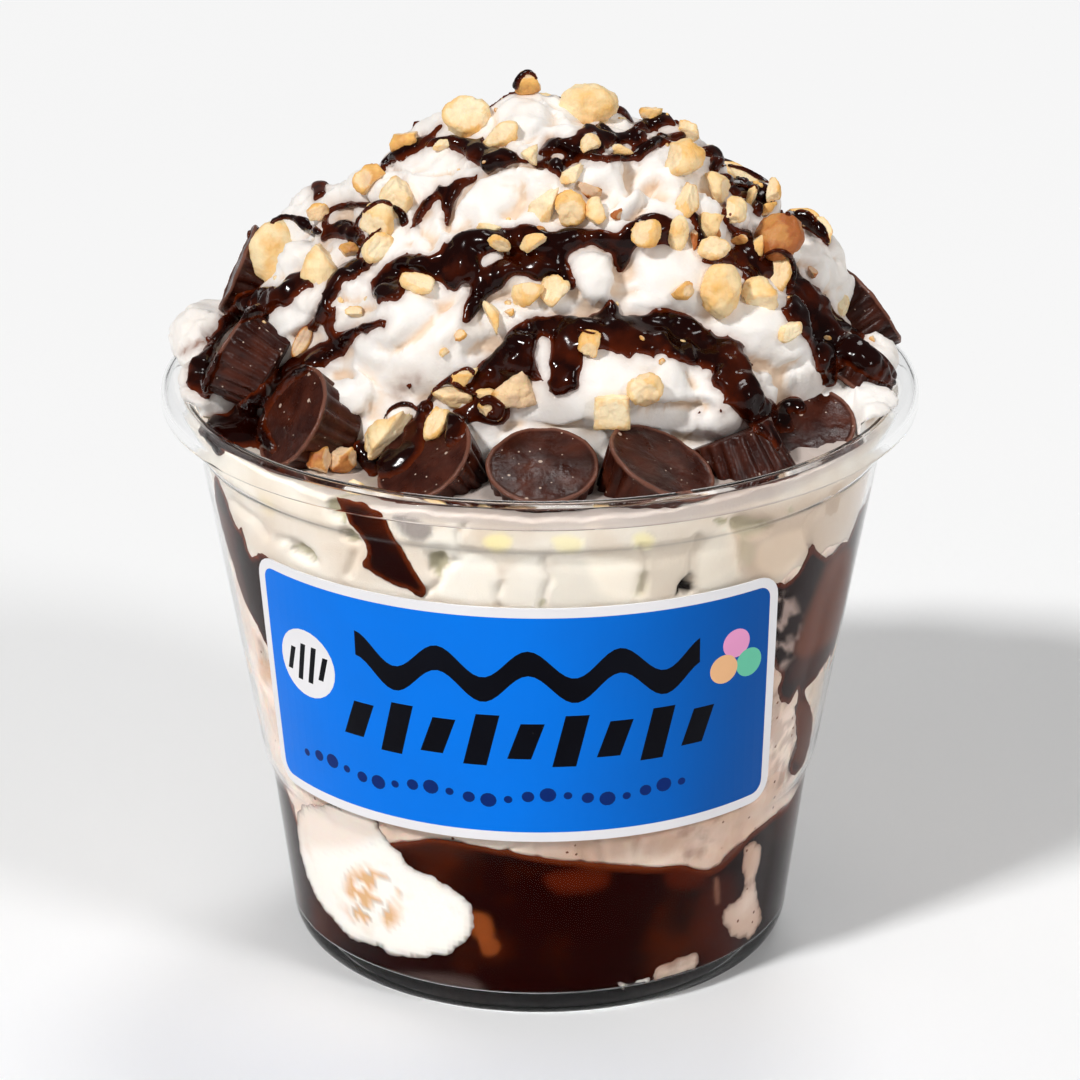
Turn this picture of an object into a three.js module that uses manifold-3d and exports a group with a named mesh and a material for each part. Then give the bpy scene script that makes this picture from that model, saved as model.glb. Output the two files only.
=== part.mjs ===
// Ice cream sundae in a clear squat cup: fudge and ice cream layers, a heap of whipped cream
// with chopped nuts and fudge drizzle, and a ring of small fluted chocolate cups round the rim.
// Millimetres, +Z up. The origin is the middle of the cup's foot, on the table.
import * as THREE from 'three';
import { mergeVertices } from 'three/addons/utils/BufferGeometryUtils.js';
import Module from 'manifold-3d';

const wasm = await Module();
wasm.setup();

// Cup
const rimRadius = 49;
const cupHeight = 77.2;
const wallThickness = 0.6;
const footRing = { outer: 30.2, inner: 26, slope: 1.4, rise: 2.6 };
const baseCorner = { width: 3, height: 4.5, steps: 3 };
const floorRadius = 28;
const ledge = { radius: 35.7, height: 23.5 };
const coneFoot = { radius: 36.8, height: 26.3 };
const coneTop = { radius: 44.4, height: 69.2 };
const lidBandFoot = { radius: 45, height: 69.8 };
const lidBandTop = { radius: 45.7, height: 74.2 };
const rimBead = [[0.5, 3.2], [0, 2.6], [0, 1], [0.7, 0.2], [1.9, 0], [2.7, 0.4]]; // inset, drop
const cupSegments = 36;

// Label: its width is measured round the cone
const label = { width: 74.5, foot: 27.4, top: 61.7, corner: 3.2, thickness: 0.25, azimuth: -96 };

// Contents
const gap = 0.3;
const contentsFloor = 3.5;
const fillTop = 75.5;
const fudgeLevel = 21;
const creamLevel = 56;
const fillSegments = 28;

// Heap of whipped cream
const heap = { foot: 74, rise: 37, halfWidth: 45.5, front: 35, back: 41, middleY: 3, fullness: 2.6 };
const heapFall = { most: 1.1, heading: 105 };
const heapFloor = 70;
const ripple = { broad: 0.7, fine: 0.4 };
const lumpDepth = 4.8;

// Chocolate cups
const chocolate = { mouth: 7.1, base: 5.7, height: 7.4, flutes: 10, fluteDepth: 0.5 };

// Toppings
const nut = { size: 3.3, count: 33, spread: 0.86, proud: 0.15 };
const drizzle = { radius: 1.3, proud: 0.2 };

const degrees = Math.PI / 180;
const upwards = new THREE.Vector3(0, 0, 1);

function colour(hex, roughness) {
  return new THREE.MeshStandardMaterial({ color: hex, roughness, metalness: 0 });
}

// Repeatable draws between 0 and 1
function makeDraw(seed) {
  const span = 2 ** 32;
  let state = seed;
  return () => {
    state = (state * 1664525 + 1013904223) % span;
    return state / span;
  };
}

// A closed geometry as a solid: shared corners are merged and flat triangles dropped.
function toSolid(geometry) {
  const bare = geometry.clone();
  bare.deleteAttribute('normal');
  bare.deleteAttribute('uv');
  const merged = mergeVertices(bare, 1e-4);
  const index = merged.index.array;
  const kept = [];
  for (let i = 0; i < index.length; i += 3) {
    const [a, b, c] = [index[i], index[i + 1], index[i + 2]];
    if (a !== b && b !== c && c !== a) kept.push(a, b, c);
  }
  const vertProperties = new Float32Array(merged.attributes.position.array);
  const triVerts = new Uint32Array(kept);
  return new wasm.Manifold(new wasm.Mesh({ numProp: 3, vertProperties, triVerts }));
}

function toGeometry(solid) {
  const mesh = solid.getMesh();
  const geometry = new THREE.BufferGeometry();
  geometry.setAttribute('position', new THREE.BufferAttribute(new Float32Array(mesh.vertProperties), 3));
  geometry.setIndex(new THREE.BufferAttribute(new Uint32Array(mesh.triVerts), 1));
  geometry.computeVertexNormals();
  return geometry;
}

// The largest connected body: sealed hollows are filled and loose scraps dropped.
function mainBody(solid) {
  return solid.decompose().reduce((best, body) => (body.volume() > best.volume() ? body : best));
}

function joined(solids) {
  return solids.reduce((sum, solid) => sum.add(solid));
}

function cutBy(solid, tools) {
  return tools.reduce((rest, tool) => rest.subtract(tool), solid);
}

// A closed outline of [radius, height] pairs turned about +Z
function lathe(outline, segments = cupSegments) {
  const points = outline.map(([radius, height]) => new THREE.Vector2(radius, height));
  return new THREE.LatheGeometry(points, segments).rotateX(Math.PI / 2);
}

function moveVertices(geometry, place) {
  const position = geometry.attributes.position;
  const point = new THREE.Vector3();
  for (let i = 0; i < position.count; i += 1) {
    point.fromBufferAttribute(position, i);
    place(point);
    position.setXYZ(i, point.x, point.y, point.z);
  }
  return geometry;
}

// ---- cup

// Outer wall, from the foot ring up to the lid band
function outerOutline() {
  const outline = [[footRing.outer, 0]];
  for (let step = 1; step <= baseCorner.steps; step += 1) {
    const angle = ((step / baseCorner.steps) * Math.PI) / 2;
    const outwards = baseCorner.width * Math.sin(angle);
    outline.push([footRing.outer + outwards, baseCorner.height * (1 - Math.cos(angle))]);
  }
  const stations = [ledge, coneFoot, coneTop, lidBandFoot, lidBandTop];
  return [...outline, ...stations.map(({ radius, height }) => [radius, height])];
}

function innerOutline() {
  const wall = outerOutline().filter(([, height]) => height > footRing.rise + wallThickness);
  const stations = wall.map(([radius, height]) => [radius - wallThickness, height]);
  return [[floorRadius, footRing.rise + wallThickness], ...stations];
}

function cupGeometry() {
  const { inner, slope, rise } = footRing;
  const underside = [[0, rise], [inner - slope, rise], [inner, 0]];
  const rim = rimBead.map(([inset, drop]) => [rimRadius - inset, cupHeight - drop]);
  const inside = innerOutline().reverse();
  return lathe([...underside, ...outerOutline(), ...rim, ...inside, [0, rise + wallThickness]]);
}

// Radius of a line of [radius, height] stations at a height
function radiusAt(stations, height) {
  for (let i = 1; i < stations.length; i += 1) {
    const [r0, z0] = stations[i - 1];
    const [r1, z1] = stations[i];
    if (height <= z1) return r0 + ((r1 - r0) * (height - z0)) / (z1 - z0);
  }
  return stations[stations.length - 1][0];
}

// ---- label: a rounded rectangle wrapped on the cone

function labelGeometry() {
  const { width, foot, top, corner, thickness, azimuth } = label;
  const rowPlaces = [-1, -0.93, -0.8, 0.8, 0.93, 1];
  const columns = 16;
  const rows = rowPlaces.length - 1;
  const halfHeight = (top - foot) / 2;
  const cone = [coneFoot, coneTop].map((station) => [station.radius, station.height]);
  const box = new THREE.BoxGeometry(2, 2, 1, columns, rows, 1);
  return moveVertices(box, (point) => {
    const across = rowPlaces[Math.round(((point.y + 1) / 2) * rows)] * halfHeight;
    const past = Math.max(0, Math.abs(across) - (halfHeight - corner));
    const halfWidth = width / 2 - corner + Math.sqrt(corner ** 2 - past ** 2);
    const height = foot + halfHeight + across;
    const wall = radiusAt(cone, height);
    const radius = wall + gap + (point.z + 0.5) * thickness;
    const angle = azimuth * degrees + (point.x * halfWidth) / wall;
    point.set(radius * Math.cos(angle), radius * Math.sin(angle), height);
  });
}

// ---- layers inside the cup

const fillWall = innerOutline().map(([radius, height]) => [radius - gap, height]);

function fillSolid() {
  const wall = fillWall.filter(([, height]) => height > contentsFloor && height < fillTop);
  const foot = [radiusAt(fillWall, contentsFloor), contentsFloor];
  const top = [[wall[wall.length - 1][0], fillTop], [0, fillTop]];
  return toSolid(lathe([[0, contentsFloor], foot, ...wall, ...top], fillSegments));
}

// Everything under a wavy surface, as a round block with a moved top
function below(surface) {
  const [reach, depth, segments] = [50, 5, 20];
  const outline = [[0, -depth], [reach, -depth], [reach, 0], [0.68 * reach, 0], [0, 0]];
  const block = moveVertices(lathe(outline, segments), (point) => {
    if (point.z > -depth / 2) point.z = surface(Math.atan2(point.y, point.x));
  });
  return toSolid(block);
}

function fudgeTop(azimuth) {
  const turn = azimuth - label.azimuth * degrees;
  return fudgeLevel + 2.4 * Math.cos(3 * turn) + 1.4 * Math.cos(5 * turn);
}

function creamFoot(azimuth) {
  return creamLevel + 2.5 * Math.cos(2 * azimuth + 0.7) + 1.4 * Math.cos(5 * azimuth);
}

// Scoops of ice cream that reach down into the fudge at the wall, with their half sizes
const scoopDepth = 9;
const scoops = [
  { azimuth: -138, height: 15.5, wide: 12, tall: 9.5 },
  { azimuth: -115, height: 13.5, wide: 7.5, tall: 6.5 },
  { azimuth: -148, height: 24, wide: 8, tall: 8 },
];

function scoopSolids(grow) {
  return scoops.map(({ azimuth, height, wide, tall }) => {
    const ball = new THREE.SphereGeometry(1, 10, 7).rotateX(Math.PI / 2);
    ball.scale(scoopDepth + grow, wide + grow, tall + grow);
    ball.translate(radiusAt(fillWall, height) - 1, 0, height).rotateZ(azimuth * degrees);
    return toSolid(ball);
  });
}

// Fudge that ran down the inside of the wall: [azimuth, height] stations and a half width
const ribbonInset = 0.4;
const ribbons = {
  fudge_ribbon_left: { stations: [[-163, 70], [-158, 60], [-151, 49]], halfWidth: 4.2 },
  fudge_ribbon_front: { stations: [[-118, 73], [-115, 66], [-111, 55]], halfWidth: 3 },
  fudge_ribbon_right: { stations: [[-10, 68], [-19, 56], [-29, 46], [-37, 38]], halfWidth: 4.4 },
  fudge_ribbon_back_right: { stations: [[52, 70], [62, 58], [58, 44]], halfWidth: 3.8 },
  fudge_ribbon_back_left: { stations: [[118, 67], [110, 54], [121, 40]], halfWidth: 4.6 },
};

// A strand with a regular section of a few sides
function tube(curve, radius, sides, steps) {
  const section = new THREE.Shape();
  for (let side = 0; side < sides; side += 1) {
    const angle = (side / sides) * 2 * Math.PI;
    const corner = [radius * Math.cos(angle), radius * Math.sin(angle)];
    if (side === 0) section.moveTo(...corner);
    else section.lineTo(...corner);
  }
  section.closePath();
  return toSolid(new THREE.ExtrudeGeometry(section, { steps, extrudePath: curve, curveSegments: 1 }));
}

function ribbonSolid({ stations, halfWidth }, grow) {
  const points = stations.map(([azimuth, height]) => {
    const radius = radiusAt(fillWall, height) - ribbonInset;
    return new THREE.Vector3(radius, 0, height).applyAxisAngle(upwards, azimuth * degrees);
  });
  if (grow > 0) {
    const first = points[0].clone().sub(points[1]).setLength(grow);
    const last = points[points.length - 1].clone().sub(points[points.length - 2]).setLength(grow);
    points[0].add(first);
    points[points.length - 1].add(last);
  }
  return tube(new THREE.CatmullRomCurve3(points), halfWidth + grow, 8, 4);
}

// ---- chocolate cups: [x, y, z, heading of the mouth, lean from upright, size]

const chocolateCups = [
  [0.3, -35.1, 74.6, -90, 21, 0.98],
  [13.5, -35.2, 75.0, -24, 27, 1.0],
  [-12.6, -32.5, 75.4, -141, 41, 0.95],
  [-28.3, -23.7, 78.2, -155, 58, 0.95],
  [-36.3, -13.0, 82.9, 161, 65, 0.9],
  [-36.6, 7.4, 87.6, 178, 66, 0.85],
  [-35.4, -0.2, 79.0, 169, 17, 0.85],
  [24.8, -27.9, 75.3, -38, 154, 0.92],
  [33.2, -17.9, 74.6, -81, 27, 0.9],
  [39.8, -7.3, 79.2, -137, 130, 0.88],
  [40.7, 7.0, 81.7, 22, 57, 0.88],
  [28.6, -9.2, 82.0, 9, 61, 0.72],
  [31.0, 19.5, 81.5, 40, 62, 1.0],
  [18.5, 32.0, 79.5, 75, 28, 0.95],
  [2.5, 37.5, 79.5, 100, 72, 1.0],
  [-13.5, 34.5, 80.5, 140, 20, 0.95],
  [-28.5, 23.0, 81.0, 130, 80, 1.0],
];

function poseChocolate(geometry, [x, y, z, heading, lean, size]) {
  geometry.translate(0, 0, -chocolate.height / 2).scale(size, size, size);
  return geometry.rotateY(lean * degrees).rotateZ(heading * degrees).translate(x, y, z);
}

// The flutes are cut into the base's edge and run out at the mouth.
function chocolateGeometry(pose) {
  const { mouth, base, height, flutes, fluteDepth } = chocolate;
  const outline = [[0, 0], [base, 0], [mouth, height], [0, height]];
  const body = moveVertices(lathe(outline, 2 * flutes), (point) => {
    const radius = Math.hypot(point.x, point.y);
    if (radius < base / 2 || point.z > height / 2) return;
    const flute = Math.round((Math.atan2(point.y, point.x) * flutes) / Math.PI);
    const pulled = flute % 2 === 0 ? 1 : 1 - fluteDepth / radius;
    point.set(point.x * pulled, point.y * pulled, point.z);
  });
  return poseChocolate(body, pose);
}

// The space that a chocolate cup takes up in the cream
function chocolatePocket(pose) {
  const { mouth, base, height } = chocolate;
  const [foot, top, segments] = [-gap, height + gap, 10];
  const outline = [[0, foot], [base + 2 * gap, foot], [mouth + 2 * gap, top], [0, top]];
  return toSolid(poseChocolate(lathe(outline, segments), pose));
}

// ---- whipped cream: lumps as [x, y, z, half sizes along x, y and z]

const frontLumps = [
  [-1, 1.5, 107.5, 8, 7, 6],
  [-9.5, 3, 106, 6.5, 6, 5.2],
  [-4.8, -11.5, 101.5, 6.8, 6, 5.2],
  [-14, -6, 101, 6, 5.5, 5],
  [-27, 7, 94.5, 6.5, 6.5, 5.5],
  [12.6, -3, 103, 7.5, 6, 5.5],
  [6.5, -20.5, 95.5, 3.8, 3.6, 4.6],
  [15, -14.5, 94.5, 8.5, 7, 6],
  [-15.5, -12, 96.5, 7, 6, 6],
  [-12.5, -19.5, 88, 10.5, 8, 9],
  [-21.5, -14, 89.5, 6.5, 6, 6.5],
  [-29, -9, 87, 6, 6, 6.5],
  [8, -23.5, 84.5, 12.5, 8, 6.5],
  [19.5, -21, 81.5, 9.5, 7.5, 6],
  [24, -13.5, 88, 9.5, 7.5, 5.5],
  [30, -12.5, 82, 7, 6, 5],
  [34, 4, 89.5, 5.5, 6, 6],
  [-42.8, 4, 79.8, 5.2, 8, 5],
  [-41.2, -9, 78.5, 5, 6, 4],
  [41.2, -14.5, 76.5, 4.5, 5, 3.5],
];

// Distance from the heap's middle, 1 at its foot
function heapShare(x, y) {
  const depth = y < heap.middleY ? heap.front : heap.back;
  return Math.hypot(x / heap.halfWidth, (y - heap.middleY) / depth);
}

// The heap falls away sooner at the back than at the front.
function heapHeight(x, y) {
  const turned = Math.atan2(y - heap.middleY, x) - heapFall.heading * degrees;
  const fullness = heap.fullness - (heapFall.most * (1 + Math.cos(turned))) / 2;
  return heap.foot + heap.rise * (1 - heapShare(x, y) ** fullness);
}

// The point at a share of the way from the heap's middle to its foot
function heapPoint(share, angle) {
  const depth = Math.sin(angle) < 0 ? heap.front : heap.back;
  return [share * heap.halfWidth * Math.cos(angle), heap.middleY + share * depth * Math.sin(angle)];
}

// Lumps over the back of the heap, in three rows that go round it
function backLumps() {
  const draw = makeDraw(7);
  const rows = [
    { share: 0.3, from: 30, to: 150, count: 2, size: 8 },
    { share: 0.55, from: 15, to: 165, count: 4, size: 8 },
    { share: 0.78, from: 22, to: 158, count: 5, size: 7.2 },
  ];
  return rows.flatMap(({ share, from, to, count, size }) =>
    Array.from({ length: count }, (_, place) => {
      const angle = (from + ((to - from) * (place + 0.2 + 0.6 * draw())) / count) * degrees;
      const [x, y] = heapPoint(share, angle);
      const wide = size * (0.85 + 0.3 * draw());
      const deep = wide * (0.8 + 0.2 * draw());
      const tall = 6 * (0.9 + 0.3 * draw());
      return [x, y, heapHeight(x, y) - lumpDepth, wide, deep, tall];
    }),
  );
}

const lumps = [...frontLumps, ...backLumps()];

function lumpSolid([x, y, z, rx, ry, rz]) {
  const ball = new THREE.SphereGeometry(1, 8, 6).rotateX(Math.PI / 2);
  return toSolid(ball.scale(rx, ry, rz).translate(x, y, z));
}

// Height of the cream's surface over a point
function creamHeight(x, y) {
  return lumps.reduce((height, [cx, cy, cz, rx, ry, rz]) => {
    const inside = 1 - ((x - cx) / rx) ** 2 - ((y - cy) / ry) ** 2;
    return inside > 0 ? Math.max(height, cz + rz * Math.sqrt(inside)) : height;
  }, Math.max(heapHeight(x, y), fillTop));
}

function heapSolid() {
  const shares = [1, 0.9, 0.72, 0.48, 0.22];
  const segments = 20;
  const outline = [[0, -1], [1, -1], ...shares.map((share) => [share, 0]), [0, 0]];
  const dome = moveVertices(lathe(outline, segments), (point) => {
    const [x, y] = heapPoint(Math.hypot(point.x, point.y), Math.atan2(point.y, point.x));
    const broad = ripple.broad * Math.sin(0.55 * x + 1) * Math.cos(0.5 * y);
    const fine = ripple.fine * Math.sin(0.9 * x - 0.7 * y);
    point.set(x, y, point.z < -0.5 ? heapFloor : heapHeight(x, y) + broad + fine);
  });
  return toSolid(dome);
}

// Ring of space that the cup's wall and rim take up
function rimSpace() {
  const [foot, reach] = [45, 70];
  const top = cupHeight + gap;
  const inside = fillWall.filter(([, height]) => height > lidBandFoot.height - 5);
  const start = [inside[0][0], foot];
  const outside = [[reach, foot], [reach, top], [rimRadius - 3, top]];
  return toSolid(lathe([start, ...outside, ...inside.toReversed(), start], fillSegments));
}

// ---- nuts and drizzle on the cream

function nutSolid(x, y, z, size, draw) {
  const piece = new THREE.IcosahedronGeometry(size, 0);
  piece.scale(1, 0.62 + 0.25 * draw(), 0.5 + 0.25 * draw());
  piece.rotateX(draw() * Math.PI).rotateY(draw() * Math.PI).rotateZ(draw() * Math.PI);
  return toSolid(piece.translate(x, y, z));
}

function clearOfChocolate(x, y, z) {
  const reach = chocolate.mouth + nut.size;
  return chocolateCups.every(([cx, cy, cz]) => Math.hypot(x - cx, y - cy, z - cz) > reach);
}

// The largest nut stands on the peak. The others lie along a sunflower spiral, which covers the
// heap evenly, and get smaller towards its foot.
function nutSolids() {
  const draw = makeDraw(23);
  const goldenTurn = Math.PI * (3 - Math.sqrt(5));
  const peak = [-1.4, 1.5];
  const nuts = [nutSolid(...peak, creamHeight(...peak) + nut.size / 2, nut.size, () => 0.5)];
  for (let i = 1; i <= nut.count; i += 1) {
    const share = nut.spread * Math.sqrt((i + 2) / (nut.count + 2));
    const [x, y] = heapPoint(share, i * goldenTurn + 0.5 * (draw() - 0.5));
    const size = nut.size * (1.05 - 0.35 * (i / nut.count)) * (0.85 + 0.3 * draw());
    const z = creamHeight(x, y) + nut.proud * size;
    if (clearOfChocolate(x, y, z)) nuts.push(nutSolid(x, y, z, size, draw));
  }
  return nuts;
}

// Fudge drizzle: [x, y] stations that each strand passes over
const strands = [
  { stations: [[-20, -1], [-13, -3], [-6, -8], [0, -8]], width: 1 },
  { stations: [[-23, -17], [-13, -17], [-4, -18], [4, -18], [10, -16]], width: 1.6 },
  { stations: [[-9, -27], [-4, -25], [6, -24], [17, -22], [26, -25]], width: 1.7 },
  { stations: [[20, -17], [28, -11], [33, -10], [39, -4]], width: 1.7 },
  { stations: [[-20, -23], [-27, -18.5], [-32, -17.5]], width: 1.3 },
  { stations: [[1, -7], [8, -5], [14, -3], [20, 2], [29, 3]], width: 1.1 },
  { stations: [[-26, 6], [-15, 12], [-4, 9], [8, 12], [20, 8]], width: 1.3 },
  { stations: [[-30, 14], [-18, 22], [-6, 18], [7, 24], [20, 19]], width: 1.5 },
];

function strandSolid({ stations, width }) {
  const route = new THREE.CatmullRomCurve3(stations.map(([x, y]) => new THREE.Vector3(x, y, 0)));
  const steps = 2 * (stations.length - 1);
  const points = route.getSpacedPoints(steps);
  points.forEach((point) => point.setZ(creamHeight(point.x, point.y) + drizzle.proud));
  return tube(new THREE.CatmullRomCurve3(points), drizzle.radius * width, 4, steps);
}

function creamSolid(fill, layerBelow, spaces) {
  const toppings = [...nutSolids(), ...strands.map(strandSolid)];
  const heaped = joined([heapSolid(), ...lumps.map(lumpSolid), ...toppings]);
  const cream = fill.subtract(layerBelow).add(heaped.subtract(rimSpace()));
  return mainBody(cutBy(cream, spaces));
}

// ---- assembly

const sundae = new THREE.Group();

function addPiece(name, geometry, material) {
  const mesh = new THREE.Mesh(geometry, material);
  mesh.name = name;
  sundae.add(mesh);
}

const clearPlastic = colour(0xe8eef0, 0.08);
clearPlastic.transparent = true;
clearPlastic.opacity = 0.35;
const fudgeBrown = colour(0x2a0f08, 0.15);
const creamWhite = colour(0xfbf6ef, 0.55);
const iceCreamWhite = colour(0xe9d6c4, 0.6);
const darkChocolate = colour(0x38201a, 0.4);
const labelBlue = colour(0x0a78d6, 0.35);

const fill = fillSolid();
const pockets = chocolateCups.map(chocolatePocket);
const ribbonSpaces = Object.values(ribbons).map((ribbon) => ribbonSolid(ribbon, gap));
const fudgeUnder = below((azimuth) => fudgeTop(azimuth) - gap / 2);
const fudgeOver = below((azimuth) => fudgeTop(azimuth) + gap / 2);
const iceUnder = below((azimuth) => creamFoot(azimuth) - gap / 2);
const iceOver = below((azimuth) => creamFoot(azimuth) + gap / 2);

const fudgeLayer = cutBy(fill.intersect(fudgeUnder), scoopSolids(gap));
const scoopsInCup = scoopSolids(0).map((scoop) => scoop.intersect(fill));
const iceBand = joined([fill.intersect(iceUnder).subtract(fudgeOver), ...scoopsInCup]);

addPiece('cup', cupGeometry(), clearPlastic);
addPiece('label', labelGeometry(), labelBlue);
addPiece('fudge_layer', toGeometry(mainBody(fudgeLayer)), fudgeBrown);
addPiece('ice_cream_layer', toGeometry(mainBody(cutBy(iceBand, ribbonSpaces))), iceCreamWhite);
for (const [name, ribbon] of Object.entries(ribbons)) {
  addPiece(name, toGeometry(mainBody(ribbonSolid(ribbon, 0).intersect(fill))), fudgeBrown);
}
const whippedCream = creamSolid(fill, iceOver, [...pockets, ...ribbonSpaces]);
addPiece('whipped_cream', toGeometry(whippedCream), creamWhite);
chocolateCups.forEach((pose, place) => {
  const number = String(place + 1).padStart(2, '0');
  addPiece(`chocolate_cup_${number}`, chocolateGeometry(pose), darkChocolate);
});

export default sundae;
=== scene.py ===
import math
import random

import bmesh
import bpy
import numpy as np
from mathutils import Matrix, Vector, geometry, noise
from mathutils.bvhtree import BVHTree


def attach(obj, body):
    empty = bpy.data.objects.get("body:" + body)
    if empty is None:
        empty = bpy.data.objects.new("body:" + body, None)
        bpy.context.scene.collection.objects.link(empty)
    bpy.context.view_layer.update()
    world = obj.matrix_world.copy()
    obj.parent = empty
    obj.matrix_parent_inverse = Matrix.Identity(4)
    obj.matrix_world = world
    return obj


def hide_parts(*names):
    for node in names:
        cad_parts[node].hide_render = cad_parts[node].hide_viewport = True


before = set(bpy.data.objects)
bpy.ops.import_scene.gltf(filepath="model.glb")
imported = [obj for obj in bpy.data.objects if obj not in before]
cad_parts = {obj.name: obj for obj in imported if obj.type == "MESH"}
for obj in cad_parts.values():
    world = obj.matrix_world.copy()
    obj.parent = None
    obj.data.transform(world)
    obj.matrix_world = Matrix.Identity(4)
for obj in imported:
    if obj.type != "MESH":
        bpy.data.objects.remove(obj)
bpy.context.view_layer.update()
mm = 0.001  # shapes are worked out in millimetres and stored in metres
noise.seed_set(7)  # so that each run bends the folds alike


# Camera: every sight line in this script starts here
camera = {
    "distance": 600,  # from the cup's axis, mm
    "height": 291.2,
    "tilt": 0.377,  # radians below level
    "lens": 163.9,
    "sensor": 36,
    "frame": 1080,  # the picture's side, in the pixels that sight lines are given in
}
eyePoint = (0, -camera["distance"], camera["height"])
viewAhead = (0, math.cos(camera["tilt"]), -math.sin(camera["tilt"]))
viewUp = (0, math.sin(camera["tilt"]), math.cos(camera["tilt"]))
lensPixels = camera["lens"] / camera["sensor"] * camera["frame"]
middlePixel = camera["frame"] / 2


def addObject(name, data):
    added = bpy.data.objects.new(name, data)
    bpy.context.scene.collection.objects.link(added)
    return added


def addCamera():
    data = bpy.data.cameras.new("camera")
    data.lens = camera["lens"]
    data.sensor_width = camera["sensor"]
    data.clip_start = 0.01
    data.clip_end = 20
    view = addObject("camera", data)
    view.location = (0, -camera["distance"] * mm, camera["height"] * mm)
    view.rotation_euler = (math.pi / 2 - camera["tilt"], 0, 0)
    bpy.context.scene.camera = view


def sightLine(px, py):
    way = Vector(viewAhead) * lensPixels + Vector((px - middlePixel, 0, 0)) + Vector(viewUp) * (middlePixel - py)
    return Vector(eyePoint), way.normalized()


def pictured(points):  # picture pixels of points
    away = np.asarray(points) - eyePoint
    ahead = away @ viewAhead
    return middlePixel + lensPixels * away[:, 0] / ahead, middlePixel - lensPixels * (away @ viewUp) / ahead


def pixelSize(spot):  # mm
    return (camera["distance"] + spot[1]) / lensPixels


def meshOf(points, faces):
    mesh = bpy.data.meshes.new("mesh")
    mesh.from_pydata((np.asarray(points, float) * mm).tolist(), [], faces)
    mesh.validate()
    return mesh


def showPiece(name, mesh, material, node, smooth=True):
    mesh.name = name
    mesh.shade_smooth() if smooth else mesh.shade_flat()
    mesh.materials.clear()
    mesh.materials.append(materials[material])
    piece = addObject(name, mesh)
    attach(piece, "root")
    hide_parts(node)


def numbersOf(items, key, wide=3, kind=float):
    flat = np.empty(len(items) * wide, kind)
    items.foreach_get(key, flat)
    return flat.reshape(-1, wide)


def pointsOf(mesh):
    return numbersOf(mesh.vertices, "co") / mm


def setPoints(mesh, points):
    mesh.vertices.foreach_set("co", (points * mm).ravel())
    mesh.update()


def normalsOf(mesh):
    return numbersOf(mesh.vertex_normals, "vector")


def partsOf(mesh):
    return pointsOf(mesh), [tuple(face.vertices) for face in mesh.polygons]


def setValues(mesh, name, values):
    attribute = mesh.attributes.new(name, "FLOAT", "POINT")
    attribute.data.foreach_set("value", np.asarray(values, np.float32))


def treeOf(meshes):
    points, faces = [], []
    for mesh in meshes:
        start = len(points)
        points += [Vector(p) for p in pointsOf(mesh)]
        faces += [[start + v for v in face.vertices] for face in mesh.polygons]
    return BVHTree.FromPolygons(points, faces)


def smoothStep(low, high, value):
    share = np.clip((value - low) / (high - low), 0, 1)
    return share * share * (3 - 2 * share)


def roundTurns(count):
    return np.linspace(0, 2 * math.pi, count, endpoint=False)


def onRound(radius, turn, height):  # points at a radius, an azimuth in radians and a height
    return np.column_stack(np.broadcast_arrays(radius * np.cos(turn), radius * np.sin(turn), height))


# Brings points that are further from the axis than a limit back to it
def keepWithin(points, limit):
    reach = np.hypot(points[:, 0], points[:, 1])
    points[:, :2] *= np.minimum(1, limit / np.maximum(reach, 1e-6))[:, None]


def noiseAt(points, scale):
    return np.array([noise.noise(Vector(p) * scale) for p in points])


def fractalAt(points, scale, roughness, gap, octaves, shift=(0, 0, 0)):
    shift = Vector(shift)
    return np.array([noise.fractal(Vector(p) * scale + shift, roughness, gap, octaves) for p in points])


# Rings of points from pole to pole, as one closed skin
def ringSkin(rings, low, high):
    columns = len(rings[0])
    points = np.concatenate([[low], *rings, [high]])
    faces = []
    for column in range(columns):
        after = (column + 1) % columns
        faces.append((0, 1 + after, 1 + column))
        for row in range(len(rings) - 1):
            start = 1 + row * columns
            faces.append((start + column, start + after, start + columns + after, start + columns + column))
        start = 1 + (len(rings) - 1) * columns
        faces.append((start + column, start + after, len(points) - 1))
    return meshOf(points, faces)


# A sheet of faces and its copy further on in the list of points, as one closed skin
def closedSkin(faces, start):
    edges = {(a, b) for face in faces for a, b in zip(face, face[1:] + face[:1])}
    brim = sorted((a, b) for a, b in edges if (b, a) not in edges)
    under = [tuple(start + v for v in reversed(face)) for face in faces]
    return faces + under + [(b, a, start + a, start + b) for a, b in brim]


def turned(outline, columns):  # outline: (radius, height) pairs, both ends on the axis
    angles = roundTurns(columns)
    rings = [onRound(radius, angles, height) for radius, height in outline[1:-1]]
    return ringSkin(rings, (0, 0, outline[0][1]), (0, 0, outline[-1][1]))


# Corners of a line of points, rounded
def eased(line, reach, steps=4):
    line = [np.array(p, float) for p in line]
    out = [line[0]]
    for before, corner, after in zip(line, line[1:], line[2:]):
        back, on = before - corner, after - corner
        cut = min(reach, 0.45 * np.linalg.norm(back), 0.45 * np.linalg.norm(on))
        start = corner + back / np.linalg.norm(back) * cut
        end = corner + on / np.linalg.norm(on) * cut
        for step in range(steps + 1):
            t = step / steps
            out.append((1 - t) ** 2 * start + 2 * t * (1 - t) * corner + t * t * end)
    return [tuple(p) for p in out + [line[-1]]]


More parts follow.
